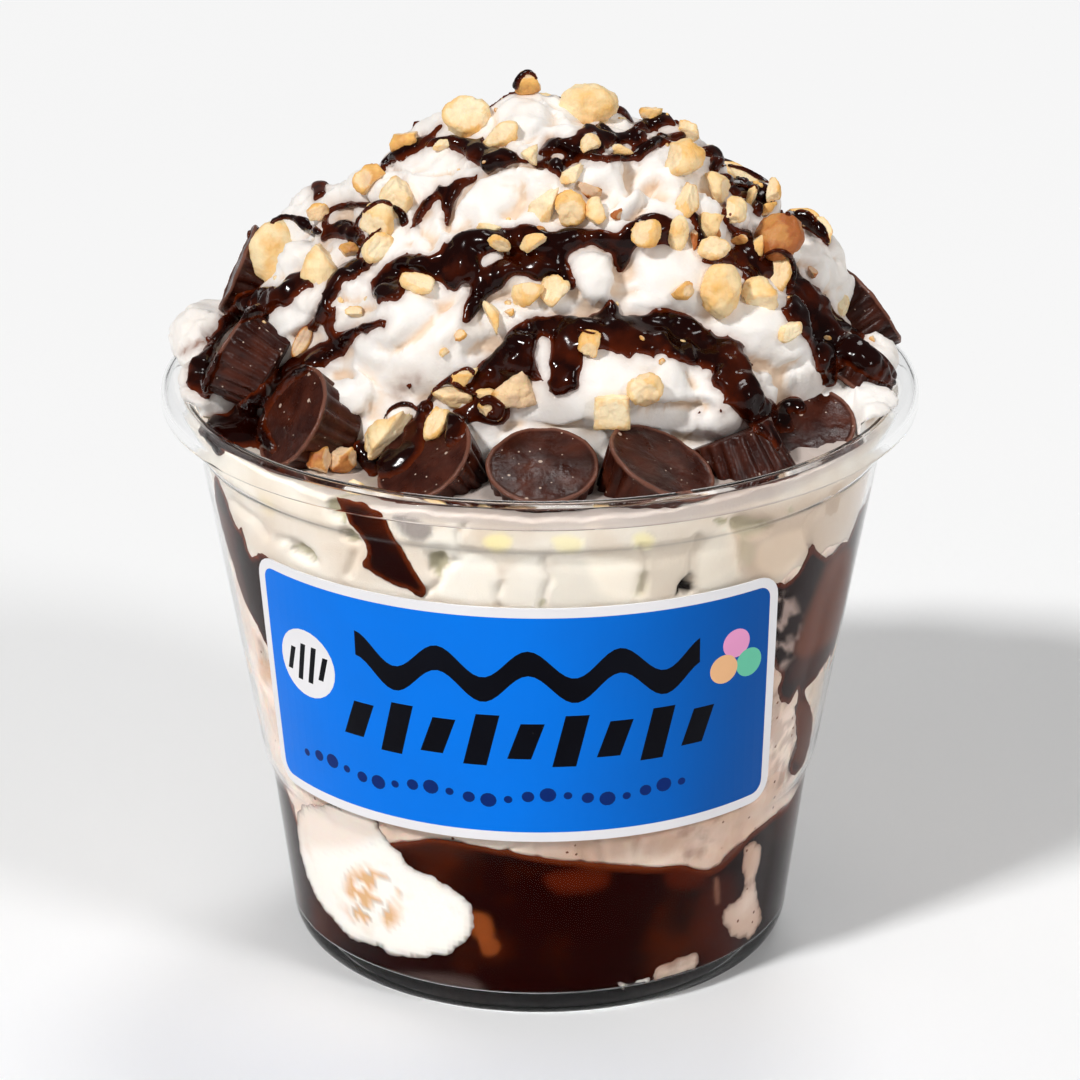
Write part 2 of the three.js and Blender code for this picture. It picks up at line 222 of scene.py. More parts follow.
# A smooth line through points, closed or open
def curved(line, steps, closed=False):
    line = np.array(line, float)
    last = len(line) - 1
    t = (np.arange(steps) / steps)[:, None]
    out = []
    for span in range(last + closed):
        near = [(span + k) % (last + 1) if closed else min(max(span + k, 0), last) for k in (-1, 0, 1, 2)]
        a, b, c, d = line[near]
        out.append(0.5 * (2 * b + (c - a) * t + (2 * a - 5 * b + 4 * c - d) * t**2 + (3 * b - a - 3 * c + d) * t**3))
    return np.concatenate(out if closed else out + [line[last:]])


def modified(mesh, kind, **settings):
    carrier = addObject("carrier", mesh)
    modifier = carrier.modifiers.new("modifier", kind)
    for key, value in settings.items():
        setattr(modifier, key, value)
    graph = bpy.context.evaluated_depsgraph_get()
    result = bpy.data.meshes.new_from_object(carrier.evaluated_get(graph))
    bpy.data.objects.remove(carrier)
    return result


# Joins what overlaps in a mesh into one skin
def fused(mesh, voxel):
    return modified(mesh, "REMESH", mode="VOXEL", voxel_size=voxel * mm)


# Fewer triangles, the flat places first
def thinned(mesh, most):
    count = sum(len(face.vertices) - 2 for face in mesh.polygons)
    return modified(mesh, "DECIMATE", ratio=min(1.0, most / count))


# Mean of each point's neighbours, from the two ends of every edge
def neighbourMean(values, one, other):
    size = len(values)
    count = np.bincount(one, minlength=size) + np.bincount(other, minlength=size)
    total = np.column_stack([
        np.bincount(one, values[other, k], size) + np.bincount(other, values[one, k], size) for k in range(3)
    ])
    return total / np.maximum(count, 1)[:, None]


def relaxed(mesh, rounds, share=0.5):
    points = pointsOf(mesh)
    one, other = numbersOf(mesh.edges, "vertices", 2, np.int32).T
    for _ in range(rounds):
        points += share * (neighbourMean(points, one, other) - points)
    setPoints(mesh, points)


def joinedMesh(parts):  # parts: (points, faces) pairs
    points, faces = [], []
    for somePoints, someFaces in parts:
        start = sum(len(p) for p in points)
        points.append(np.asarray(somePoints, float))
        faces += [tuple(start + v for v in face) for face in someFaces]
    return meshOf(np.concatenate(points), faces)


def icoBall(rounds):
    mesh = bpy.data.meshes.new("ball")
    shape = bmesh.new()
    bmesh.ops.create_icosphere(shape, subdivisions=rounds, radius=1)
    shape.to_mesh(mesh)
    shape.free()
    points, faces = partsOf(mesh)
    bpy.data.meshes.remove(mesh)
    return points * mm, faces


# A field has a value for each picture pixel, and what a sight line meets gets its value.
# A window of it round a dot, with each pixel's distance from the dot
def windowOf(field, px, py, reach):
    x, y = int(px), int(py)
    rows, columns = np.mgrid[y - reach:y + reach, x - reach:x + reach]
    return field[y - reach:y + reach, x - reach:x + reach], np.hypot(columns - px, rows - py)


# Lowers a field to the distance from dots (px, py, half width), less than 0 inside them
def dotsInto(field, dots, margin=9):
    for px, py, half in dots:
        window, away = windowOf(field, px, py, int(half) + margin)
        np.minimum(window, away - half, out=window)


def insideOf(line, x, y):  # which points are inside an outline
    inside = np.zeros(x.shape, bool)
    for (ax, ay), (bx, by) in zip(line, np.roll(line, -1, 0)):
        if ay != by:
            inside ^= ((ay > y) != (by > y)) & (x < (bx - ax) * (y - ay) / (by - ay) + ax)
    return inside


# The same as dotsInto for an outline
def outlineInto(field, line, margin=9):
    (x0, y0), (x1, y1) = (line.min(0) - margin).astype(int), (line.max(0) + margin).astype(int)
    rows, columns = np.mgrid[y0:y1, x0:x1]
    away = np.full(rows.shape, 99.0)
    for (ax, ay), (bx, by) in zip(line, np.roll(line, -1, 0)):
        long = max((bx - ax) ** 2 + (by - ay) ** 2, 1e-9)
        share = np.clip(((columns - ax) * (bx - ax) + (rows - ay) * (by - ay)) / long, 0, 1)
        away = np.minimum(away, np.hypot(columns - ax - share * (bx - ax), rows - ay - share * (by - ay)))
    window = field[y0:y1, x0:x1]
    np.minimum(window, np.where(insideOf(line, columns, rows), -away, away), out=window)


def emptyField(value):
    return np.full((camera["frame"], camera["frame"]), float(value))


def fieldAt(field, points):
    px, py = pictured(points)
    last = camera["frame"] - 1
    return field[np.clip(py.astype(int), 0, last), np.clip(px.astype(int), 0, last)]


# Strokes as (depth in mm, [(px, py, half width)]): hollows, or ridges where the depth is below 0
def reliefField(forms):
    field = emptyField(0)
    for depth, line in forms.values():
        own = emptyField(0)
        for px, py, half in curved(line, 6):
            window, away = windowOf(own, px, py, int(2.4 * half) + 2)
            np.maximum(window, np.exp(-((away / half) ** 2)), out=window)
        field += depth * own
    return field


def newMaterial(name):
    material = bpy.data.materials.new(name)
    material.use_nodes = True
    return material, material.node_tree, material.node_tree.nodes["Principled BSDF"]


def addNode(tree, kind, inputs=None, **settings):
    node = tree.nodes.new(kind)
    for key, value in settings.items():
        setattr(node, key, value)
    for key, value in (inputs or {}).items():
        if isinstance(value, bpy.types.NodeSocket):
            tree.links.new(value, node.inputs[key])
        else:
            node.inputs[key].default_value = value
    return node


def ramp(tree, value, stops):  # stops: (place, colour) pairs
    node = addNode(tree, "ShaderNodeValToRGB", {"Fac": value})
    while len(node.color_ramp.elements) < len(stops):
        node.color_ramp.elements.new(0.5)
    for element, (place, colour) in zip(node.color_ramp.elements, stops):
        element.position = place
        element.color = (*colour, 1)
    return node.outputs["Color"]


def mixed(tree, share, one, other):
    node = addNode(tree, "ShaderNodeMix", {"Factor": share}, data_type="RGBA")
    for socket, value in ((node.inputs[6], one), (node.inputs[7], other)):
        if isinstance(value, bpy.types.NodeSocket):
            tree.links.new(value, socket)
        else:
            socket.default_value = (*value, 1)
    return node.outputs[2]


def maths(tree, operation, *values):
    return addNode(tree, "ShaderNodeMath", dict(enumerate(values)), operation=operation).outputs[0]


# The tinges that a mesh carries, over a colour: its own marks, and on the wall also painted shade and light
def tinged(tree, colour):
    return mixed(tree, attribute(tree, "tinge", "Alpha"), colour, attribute(tree, "tinge", "Color"))


def attribute(tree, name, output="Fac"):
    return addNode(tree, "ShaderNodeAttribute", attribute_name=name).outputs[output]


def tint(red, green, blue):  # a screen colour, 0 to 255, as the light it gives
    return tuple((c / 255) ** 2.2 for c in (red, green, blue))


# A group with values in, a mask out and the piece's own coordinates
def newGroup(name, **values):
    group = bpy.data.node_groups.new(name, "ShaderNodeTree")
    for socket, value in values.items():
        group.interface.new_socket(socket, in_out="INPUT", socket_type="NodeSocketFloat").default_value = value
    group.interface.new_socket("Mask", in_out="OUTPUT", socket_type="NodeSocketFloat")
    inputs = group.nodes.new("NodeGroupInput").outputs
    outputs = group.nodes.new("NodeGroupOutput").inputs
    return group, inputs, outputs["Mask"], addNode(group, "ShaderNodeTexCoord").outputs["Object"]


# Soft cloudy mask with its own low and high edge
def mottleGroup():
    group, inputs, mask, place = newGroup("mottle", Scale=100.0, Detail=3.0, Low=0.4, High=0.6, Shift=0.0)
    moved = addNode(group, "ShaderNodeVectorMath", {0: place, 1: inputs["Shift"]}, operation="ADD")
    cloud = addNode(group, "ShaderNodeTexNoise", {
        "Vector": moved.outputs[0], "Scale": inputs["Scale"], "Detail": inputs["Detail"]})
    edge = addNode(group, "ShaderNodeMapRange", {
        "Value": cloud.outputs[0], "From Min": inputs["Low"], "From Max": inputs["High"]})
    group.links.new(edge.outputs[0], mask)
    return group


# Round flecks: a mask that is 1 in small dots, thinned out by a share
def fleckGroup():
    group, inputs, mask, place = newGroup("flecks", Scale=400.0, Size=0.15, Share=0.3)
    cells = addNode(group, "ShaderNodeTexVoronoi", {"Vector": place, "Scale": inputs["Scale"]})
    near = maths(group, "LESS_THAN", cells.outputs["Distance"], inputs["Size"])
    split = addNode(group, "ShaderNodeSeparateColor", {"Color": cells.outputs["Color"]})
    kept = maths(group, "LESS_THAN", split.outputs[0], inputs["Share"])
    group.links.new(maths(group, "MULTIPLY", near, kept), mask)
    return group


mottle = mottleGroup()
flecks = fleckGroup()


def mottled(tree, scale, low=0.4, high=0.6, detail=3.0, shift=0.0):
    values = {"Scale": scale, "Low": low, "High": high, "Detail": detail, "Shift": shift}
    return addNode(tree, "ShaderNodeGroup", values, node_tree=mottle).outputs["Mask"]


def flecked(tree, scale, size, share):
    values = {"Scale": scale, "Size": size, "Share": share}
    return addNode(tree, "ShaderNodeGroup", values, node_tree=flecks).outputs["Mask"]


def bumped(tree, shader, height, distance, strength=1.0):
    node = addNode(tree, "ShaderNodeBump", {
        "Height": height, "Distance": distance * mm, "Strength": strength})
    tree.links.new(node.outputs[0], shader.inputs["Normal"])


def feed(tree, source, shader, name):
    tree.links.new(source, shader.inputs[name])


def setShader(shader, **values):
    for name, value in values.items():
        shader.inputs[name.replace("_", " ")].default_value = value


cream = {
    "colour": tint(250, 244, 238),
    # painted shade: the colour given to the cream deep in its folds
    "hollow": tint(234, 208, 182),
    "pressed": tint(217, 206, 193),
    "pressedDark": tint(198, 178, 158),
    "stain": tint(132, 76, 44),
}


def creamMaterial(name, behindWall=False):
    material, tree, shader = newMaterial(name)
    setShader(shader, Roughness=0.45, IOR=1.4, Subsurface_Weight=0.12, Subsurface_Scale=0.0011,
              Subsurface_Radius=(1.0, 0.8, 0.62))
    if behindWall:
        setShader(shader, Specular_IOR_Level=0.0)
        soft = tinged(tree, mixed(tree, mottled(tree, 110, 0.4, 0.75), cream["pressed"], cream["pressedDark"]))
    else:
        hollow = attribute(tree, "hollow")  # 1 deep in a fold
        # painted shade: the cream is coloured warmer and darker the deeper it lies in a fold, with a little random tone
        # on top
        foldShade = maths(tree, "MULTIPLY_ADD", mottled(tree, 160, 0.42, 0.75), 0.2, hollow)
        soft = mixed(tree, foldShade, cream["colour"], cream["hollow"])
    stain = attribute(tree, "stain")
    feed(tree, mixed(tree, stain, soft, cream["stain"]), shader, "Base Color")
    foam = maths(tree, "ADD", mottled(tree, 900, 0.3, 0.7, 4), mottled(tree, 3000, 0.3, 0.7, 2))
    bumped(tree, shader, foam, 0.05, 0.35)
    return material


fudge = {
    "thick": tint(30, 9, 4),
    "thin": tint(92, 42, 22),
    "glow": tint(82, 32, 13),
    "pressed": tint(30, 5, 3),
}


# Behind the cup's wall nothing shines of its own: the wall's gloss is all that shows
def fudgeMaterial(name, behindWall=False):
    material, tree, shader = newMaterial(name)
    if behindWall:
        setShader(shader, Specular_IOR_Level=0.0)
    else:
        setShader(shader, IOR=1.45, Specular_IOR_Level=0.2)
    film = attribute(tree, "film")  # depth of the sauce, 0 at its edge to 1
    deep = fudge["pressed"] if behindWall else fudge["thick"]
    depth = ramp(tree, film, [(0.0, fudge["thin"]), (0.2, fudge["glow"]), (0.5, deep)])
    clear = maths(tree, "MULTIPLY", mottled(tree, 75 if behindWall else 150, 0.52, 0.72, 4, 5.0), 0.6)
    sauced = mixed(tree, clear, depth, fudge["glow"])
    feed(tree, tinged(tree, sauced) if behindWall else sauced, shader, "Base Color")
    feed(tree, maths(tree, "MULTIPLY_ADD", mottled(tree, 260, 0.35, 0.8), 0.12, 0.08), shader, "Roughness")
    bumped(tree, shader, mottled(tree, 420, 0.2, 0.8, 3), 0.1, 0.4)
    return material


iceCream = {
    "pale": tint(250, 243, 235),
    "light": tint(236, 217, 202),
    "tan": tint(204, 168, 146),
    "brown": tint(110, 66, 46),
}


def iceCreamMaterial(name, pale=False):
    material, tree, shader = newMaterial(name)
    setShader(shader, Roughness=0.5, Specular_IOR_Level=0.0, Subsurface_Weight=0.2, Subsurface_Scale=0.0015)
    if pale:
        specks = mixed(tree, mottled(tree, 140, 0.6, 0.85, 4), iceCream["pale"], iceCream["light"])
    else:
        base = mixed(tree, mottled(tree, 70, 0.35, 0.65, 4), iceCream["light"], iceCream["tan"])
        streak = maths(tree, "MULTIPLY", mottled(tree, 130, 0.6, 0.72, 5, 3.0), 0.55)
        swirl = mixed(tree, streak, base, iceCream["brown"])
        specks = mixed(tree, flecked(tree, 900, 0.2, 0.12), swirl, iceCream["brown"])
    stain = attribute(tree, "stain")
    feed(tree, mixed(tree, stain, tinged(tree, specks), fudge["glow"]), shader, "Base Color")
    bumped(tree, shader, mottled(tree, 800, 0.3, 0.7, 4), 0.1, 0.4)
    return material


chocolate = {
    "dark": tint(50, 21, 13),
    "light": tint(80, 40, 28),
    "speck": tint(214, 190, 172),
    # painted highlight along the mouth's lip
    "lipHighlight": tint(134, 88, 72),
}


def chocolateMaterial():
    material, tree, shader = newMaterial("chocolate")
    setShader(shader, IOR=1.46, Specular_IOR_Level=0.28)
    base = mixed(tree, mottled(tree, 300, 0.4, 0.75, 5), chocolate["dark"], chocolate["light"])
    # painted highlight: the lip round the mouth is coloured lighter, standing in for the light along it
    lipHighlight = maths(tree, "MULTIPLY", attribute(tree, "lipHighlight"), 0.55)
    edged = mixed(tree, lipHighlight, base, chocolate["lipHighlight"])
    fine = maths(tree, "MULTIPLY", flecked(tree, 1500, 0.16, 0.12), 0.8)
    specks = maths(tree, "MAXIMUM", fine, maths(tree, "MULTIPLY", flecked(tree, 520, 0.14, 0.2), 0.7))
    feed(tree, mixed(tree, specks, edged, chocolate["speck"]), shader, "Base Color")
    feed(tree, maths(tree, "MULTIPLY_ADD", mottled(tree, 500, 0.3, 0.8, 4, 2.0), 0.3, 0.22), shader, "Roughness")
    bumped(tree, shader, mottled(tree, 1200, 0.3, 0.75, 5), 0.12, 0.5)
    return material


nutColours = {
    "pale": tint(252, 226, 178),
    "cut": tint(255, 238, 206),
    "golden": tint(242, 186, 104),
    "brown": tint(172, 98, 46),
    "skin": tint(120, 62, 34),
}


def nutMaterial():
    material, tree, shader = newMaterial("choppedNut")
    setShader(shader, Roughness=0.5, IOR=1.45, Subsurface_Weight=0.12, Subsurface_Scale=0.001)
    tone = attribute(tree, "tone")  # 0 pale to 1 brown
    cut = attribute(tree, "cut")  # 1 on a cut face
    patchy = maths(tree, "MULTIPLY_ADD", mottled(tree, 350, 0.4, 0.75, 4), 0.42, tone)
    skin = ramp(tree, patchy, [
        (0.1, nutColours["pale"]), (0.5, nutColours["golden"]), (0.95, nutColours["brown"])])
    faced = mixed(tree, maths(tree, "MULTIPLY", cut, 0.45), skin, nutColours["cut"])
    # painted shade: the edges of the cut faces are coloured golden, standing in for the shading along them
    edge = maths(tree, "MULTIPLY", maths(tree, "SUBTRACT", cut, maths(tree, "MULTIPLY", cut, cut)), 1.5)
    faced = mixed(tree, edge, faced, nutColours["golden"])
    feed(tree, mixed(tree, flecked(tree, 420, 0.09, 0.12), faced, nutColours["skin"]), shader, "Base Color")
    bumped(tree, shader, mottled(tree, 700, 0.3, 0.7, 5), 0.22, 0.8)
    return material


def plasticMaterial():
    material, tree, shader = newMaterial("clearPlastic")
    setShader(shader, Roughness=0.035, IOR=1.2, Transmission_Weight=1.0,
              Base_Color=(0.975, 0.98, 0.98, 1), Specular_Tint=(0.3, 0.3, 0.3, 1))
    bumped(tree, shader, mottled(tree, 60, 0.2, 0.8, 2), 0.12, 0.25)  # slight ripples
    output = tree.nodes["Material Output"]
    lampRays = addNode(tree, "ShaderNodeLightPath").outputs["Is Shadow Ray"]
    clear = addNode(tree, "ShaderNodeBsdfTransparent", {"Color": (0.94, 0.95, 0.95, 1)})
    blend = addNode(tree, "ShaderNodeMixShader", {0: lampRays, 1: shader.outputs[0], 2: clear.outputs[0]})
    tree.links.new(blend.outputs[0], output.inputs["Surface"])
    return material


def printMaterial():
    material, tree, shader = newMaterial("labelPrint")
    setShader(shader, IOR=1.5, Specular_IOR_Level=0.05)
    ink = attribute(tree, "ink", "Color")
    worn = mixed(tree, maths(tree, "MULTIPLY", mottled(tree, 90, 0.4, 0.8), 0.07), ink, (0.02, 0.03, 0.06))
    feed(tree, worn, shader, "Base Color")
    feed(tree, maths(tree, "MULTIPLY_ADD", mottled(tree, 200, 0.3, 0.8), 0.12, 0.3), shader, "Roughness")
    bumped(tree, shader, mottled(tree, 2500, 0.3, 0.7, 2), 0.01, 0.4)
    return material


materials = {
    "cream": creamMaterial("whippedCream"),
    "pressedCream": creamMaterial("pressedCream", True),
    "fudge": fudgeMaterial("fudgeSauce"),
    "pressedFudge": fudgeMaterial("pressedFudge", True),
    "iceCream": iceCreamMaterial("iceCream"),
    "scoop": iceCreamMaterial("paleIceCream", True),
    "chocolate": chocolateMaterial(),
    "nut": nutMaterial(),
    "plastic": plasticMaterial(),
    "print": printMaterial(),
}
print("materials made")


cup = {
    "rim": 49.0,
    "height": 77.2,
    "wall": 0.6,
    "foot": 30.2,
    "ringInner": 26.0,
    "ringSlope": 1.4,
    "rise": 2.6,
    "floor": 28.0,
    "corner": (3.0, 4.5),
    "stations": [(35.7, 23.5), (36.8, 26.3), (44.4, 69.2), (45.0, 69.8), (45.7, 74.2)],
    "easing": 1.0,
    "columns": 180,
}


def outerWall():
    wide, tall = cup["corner"]
    bends = [math.radians(step * 15) for step in range(1, 7)]
    corner = [(cup["foot"] + wide * math.sin(a), tall * (1 - math.cos(a))) for a in bends]
    return eased([(cup["foot"], 0), *corner, *cup["stations"]], cup["easing"])


def innerWall():
    floor = cup["rise"] + cup["wall"]
    wall = [(radius - cup["wall"], height) for radius, height in outerWall() if height > floor + 0.6]
    return [(cup["floor"], floor), (wall[0][0] - 0.8, floor + 0.15), *wall]


innerLine = innerWall()
innerHeights = np.array([height for _, height in innerLine])
innerRadii = np.array([radius for radius, _ in innerLine])
outerLine = outerWall()


def insideRadius(height):
    return np.interp(height, innerHeights, innerRadii)


def outsideRadius(height):
    return np.interp(height, [h for _, h in outerLine], [r for r, _ in outerLine])


# The rim curls out and down like a hook.
def cupOutline():
    rim, top, wall = cup["rim"], cup["height"], cup["wall"]
    band = cup["stations"][-1][0]
    underside = [(0, cup["rise"]), (cup["ringInner"] - cup["ringSlope"], cup["rise"]), (cup["ringInner"], 0)]
    hook = [
        (band + 0.25, top - 1.5),
        (band + 0.8, top - 0.75),
        (rim - 1.1, top - 0.75),
        (rim - wall, top - 1.3),
        (rim - wall, top - 3.0),
        (rim - 0.3, top - 3.2),
        (rim, top - 2.9),
        (rim, top - 1.0),
        (rim - 0.8, top - 0.15),
        (rim - 2.0, top),
        (band + 0.35, top - 0.2),
        (band - 0.35, top - 1.1),
    ]
    inside = [*reversed(innerWall()), (0, cup["rise"] + cup["wall"])]
    return [*eased(underside, 0.4), *outerLine, *eased(hook, 0.5, 3), *inside]


showPiece("cupShell", turned(cupOutline(), cup["columns"]), "plastic", "cup")
print("cup made")


# Where a sight line meets the inside of the wall: azimuth and height
def wallSpot(px, py):
    eye, way = sightLine(px, py)
    along = np.arange(580, 720, 0.2)
    points = np.array(eye) + along[:, None] * np.array(way)
    gap = np.hypot(points[:, 0], points[:, 1]) - outsideRadius(points[:, 2])
    met = np.nonzero(gap <= 0)[0]
    point = points[met[0] if len(met) else np.argmin(gap)]
    azimuth = math.degrees(math.atan2(point[1], point[0]))
    return (azimuth - 360 if azimuth > 90 else azimuth), float(point[2])


# Layers in the cup, against the wall
layers = {
    "floor": 3.15,
    "columns": 540,
    "rowHeight": 0.5,
    "reach": 0.05,  # how far a layer's skin stands in the cup's wall, so that no air shows
    "fudgeTop": [(277,773), (284,787), (291,806), (296,830), (320,846), (350,850), (376,846), (388,844), (400,843),
        (430,840), (450,842), (480,847), (510,852), (540,858), (570,862), (600,865), (640,868), (670,868), (690,866),
        (705,873), (720,868), (735,855), (748,840), (760,828), (775,815), (790,807)],
    "fudgeTopBack": [(0,28), (20,20), (55,23.5), (90,19.5), (125,22.5), (155,26)],
    "creamFoot": [(-178,52), (-160,56), (-140,55), (-110,58), (-80,57), (-50,59), (-38,61), (-20,60), (0,55), (35,58),
        (70,53), (105,57), (140,54)],
    "creamTop": [(-178,75), (-150,75.3), (-125,73.8), (-105,74.2), (-90,74.6), (-70,74.2), (-45,75), (-20,75.5),
        (20,75.8), (60,75.4), (100,75.6), (140,75.2)],
}


# Tinges on what is pressed on the wall: (screen colour, strength, soft edge in pixels, outline). Some are painted light
# and shade: the shade under the rim and over the band, the lit and shaded lobes, the shade in gaps, slits and pockets,
# and the foot's painted shine and glint.
# gapShade is painted shade; gold, tan and ember are the contents' own colours
gapShade, gold, tan, ember = (146, 138, 110), (232, 218, 150), (190, 164, 140), (142, 72, 34)
wallTinges = {
    "shadeUnderRim": ((170, 154, 150), 0.62, 6, [(300,488), (340,503), (400,516), (470,524), (540,528), (620,526),
        (700,516), (770,498), (830,470), (872,440), (866,422), (826,450), (768,477), (700,496), (620,506), (540,508),
        (470,504), (400,495), (340,481), (300,464)]),
    # painted shade over the pressed cream's band, darkest towards the right
    "bandMiddle": ((200, 182, 162), 0.55, 12, [(590,530), (640,552), (700,540), (740,530), (742,566), (700,590),
        (640,600), (600,590)]),
    "bandRight": ((192, 165, 141), 0.7, 14, [(735,520), (800,500), (870,470), (868,500), (850,530), (835,556),
        (800,562), (780,582), (745,570)]),
    # painted light and shade: lobes of the pressed cream made lighter or darker as the light falls on them
    "lobeLit": ((243, 238, 228), 0.5, 5, [(436,592), (440,574), (452,561), (470,556), (490,563), (498,580),
        (497,602), (470,604), (445,598)]),
    "lobeNext": ((230, 223, 212), 0.5, 5, [(503,606), (503,582), (515,566), (538,560), (544,574), (543,602),
        (530,608)]),
    "lobeMiddle": ((220, 212, 198), 0.5, 5, [(558,604), (553,582), (560,566), (600,559), (638,564), (644,580),
        (636,598), (600,606)]),
    "lobeShaded": ((204, 196, 182), 0.5, 5, [(702,588), (701,560), (714,538), (732,530), (739,546), (740,572),
        (722,584)]),
    "lobeRight": ((206, 184, 160), 0.5, 5, [(760,566), (762,546), (780,536), (806,530), (810,545), (800,560),
        (786,574), (772,576)]),
    "lobeHigh": ((236, 230, 220), 0.45, 5, [(424,548), (436,532), (456,527), (459,545), (450,556), (436,556)]),
    # painted shade in the gaps, slits and pockets between folds of cream, near black in the deepest gap
    "gapUnderRim": (gapShade, 0.9, 2, [(325,500), (336,503), (342,518), (340,524), (330,515), (324,506)]),
    "gapBesideRun": (gapShade, 0.9, 2, [(338,532), (350,535), (356,541), (350,543), (342,538)]),
    "gapLeft": (gapShade, 0.8, 2, [(285,548), (296,545), (305,553), (311,562), (300,558), (290,552)]),
    "gapByRun": (gapShade, 0.8, 2, [(428,555), (440,553), (448,562), (440,573), (437,580), (430,572), (426,562)]),
    "greyShadeByRun": ((118, 108, 106), 0.8, 5, [(390,515), (412,517), (428,526), (430,535), (420,542), (402,536)]),
    "gapMiddle": (gapShade, 0.6, 2, [(645,570), (648,580), (649,592), (640,600), (636,597), (641,585)]),
    "gapRight": (gapShade, 0.75, 3, [(733,523), (745,517), (762,522), (772,521), (774,527), (762,535), (748,538),
        (738,532)]),
    "gapRightLow": (gapShade, 0.5, 2, [(745,540), (752,540), (757,552), (752,566), (743,565), (742,552)]),
    "gapRim": (gapShade, 0.9, 2, [(716,519), (730,519), (727,525), (718,524)]),
    "slit": (gapShade, 0.8, 1.5, [(792,504), (796,511), (793,516), (790,509)]),
    "slitLow": (gapShade, 0.7, 1.5, [(543,599), (547,605), (540,609), (536,606)]),
    "darkGap": ((26, 16, 12), 1.0, 1, [(690,573), (693,583), (697,591), (677,596), (685,584)]),
    "goldLeft": (gold, 0.65, 5, [(482,541), (492,536), (504,536), (511,543), (503,551), (489,550)]),
    "goldMiddle": (gold, 0.5, 5, [(552,540), (568,537), (582,542), (578,551), (560,552)]),
    "goldRight": (gold, 0.6, 5, [(635,537), (645,534), (655,540), (650,548), (637,547)]),
    "tanLeft": ((210, 190, 152), 0.5, 5, [(256,496), (266,498), (272,512), (264,515)]),
    "bubblesRight": ((92, 72, 62), 0.6, 4, [(778,588), (800,586), (804,640), (798,672), (780,668)]),
    "mudRight": ((150, 120, 105), 0.55, 7, [(773,690), (800,690), (797,780), (775,780)]),
    "edgeRight": (tan, 0.5, 5, [(812,690), (824,672), (836,650), (832,770), (812,765)]),
    "specksLeft": ((214, 166, 116), 0.95, 7, [(344,886), (350,872), (372,869), (392,884), (400,905), (390,925),
        (364,927), (346,912)]),
    "scoopTop": ((226, 204, 188), 0.6, 10, [(298,798), (380,802), (385,828), (350,845), (303,842)]),
    "orangeLeft": ((206, 150, 100), 0.6, 5, [(256,660), (266,662), (270,676), (262,684), (256,674)]),
    "ember": (ember, 0.75, 5, [(468,914), (486,917), (492,934), (480,941), (470,932)]),
    "emberLow": (ember, 0.7, 4, [(478,939), (494,940), (498,952), (484,956)]),
    "emberFar": ((86, 30, 14), 0.7, 8, [(545,878), (572,872), (606,874), (602,888), (560,893)]),
    "emberRight": ((86, 30, 14), 0.6, 8, [(668,872), (700,868), (706,884), (676,888)]),
    "emberSide": ((74, 26, 12), 0.6, 12, [(708,890), (735,880), (738,950), (712,968), (696,930)]),
    "footShine": ((120, 100, 94), 0.4, 9, [(388,976), (470,982), (472,1002), (392,994)]),
    "footGlint": ((150, 104, 84), 0.6, 2, [(716,880), (720,880), (721,902), (717,902)]),
    "runGlow": ((112, 56, 30), 0.8, 7, [(832,560), (850,548), (848,590), (838,630), (824,645), (806,656),
        (797,648), (808,618), (820,588)]),
    "runGlowLow": ((108, 60, 42), 0.7, 4, [(796,704), (810,706), (812,730), (802,762), (794,752)]),
    "bubbles": ((176, 152, 142), 0.9, 6, [(770,600), (792,596), (800,620), (794,652), (782,668), (768,655)]),
    "leftGlow": ((96, 48, 30), 0.5, 4, [(214,500), (224,520), (238,570), (246,604), (238,606), (224,552)]),
}


# Colour and, as alpha, strength of the tinges at points on the wall
def setTinges(mesh, names, speckled=()):
    points = pointsOf(mesh)
    reach = np.hypot(points[:, 0], points[:, 1])
    wall = points.copy()
    wall[:, :2] *= (outsideRadius(points[:, 2]) / np.maximum(reach, 1e-6))[:, None]
    seen = 1 - smoothStep(-0.1, 0.35, points[:, 1] / np.maximum(reach, 1e-6))
    colours, strength = np.zeros((len(points), 3)), np.zeros(len(points))
    for name in names:
        colour, most, soft, outline = wallTinges[name]
        field = emptyField(40)
        outlineInto(field, curved(outline, 4, closed=True), int(2 * soft) + 3)
        share = most * seen * (1 - smoothStep(-0.7 * soft, 0.9 * soft, fieldAt(field, wall)))
        if name in speckled:
            share *= smoothStep(-0.15, 0.2, fractalAt(points, 0.45, 0.8, 2.0, 3))
        colours += (np.array(tint(*colour)) - colours) * share[:, None]
        strength = np.maximum(strength, share)
    colours /= np.maximum(strength, 1e-3)[:, None]
    tinge = mesh.color_attributes.new("tinge", "FLOAT_COLOR", "POINT")
    tinge.data.foreach_set("color", np.column_stack([np.clip(colours, 0, 1), strength]).astype(np.float32).ravel())


# A height for each azimuth, round the whole cup
def roundLine(stations, azimuths, blur=2.5):
    angles = np.array([a for a, _ in stations], float)
    heights = np.array([h for _, h in stations], float)
    angles = np.concatenate([angles - 360, angles, angles + 360])
    heights = np.tile(heights, 3)
    near = [np.interp(azimuths + step, angles, heights) for step in np.linspace(-blur, blur, 7)]
    return np.mean(near, 0)


def wavy(azimuths, height, size, scale, seed):
    return size * fractalAt(onRound(scale, np.radians(azimuths), height * 0.1 + seed), 1, 0.8, 2.2, 5)


def layerMesh(floorLine, topLine, hollow):
    columns = layers["columns"]
    azimuths = np.arange(columns) * 360 / columns - 180
    turn = np.radians(azimuths)
    low, high = floorLine(azimuths), topLine(azimuths)
    rings = []
    for share in np.linspace(0, 1, max(6, int(np.mean(high - low) / layers["rowHeight"]))):
        height = low + (high - low) * share
        rings.append(onRound(insideRadius(height) + layers["reach"] - hollow(turn, height), turn, height))
    under, over = (0, 0, float(low.mean())), (0, 0, float(high.mean()))
    floor = [under + (rings[0] - under) * share for share in (0.3, 0.7, 0.93)]
    top = [over + (rings[-1] - over) * share for share in (0.97, 0.85, 0.6, 0.3)]
    return ringSkin([*floor, *rings, *top], under, over)


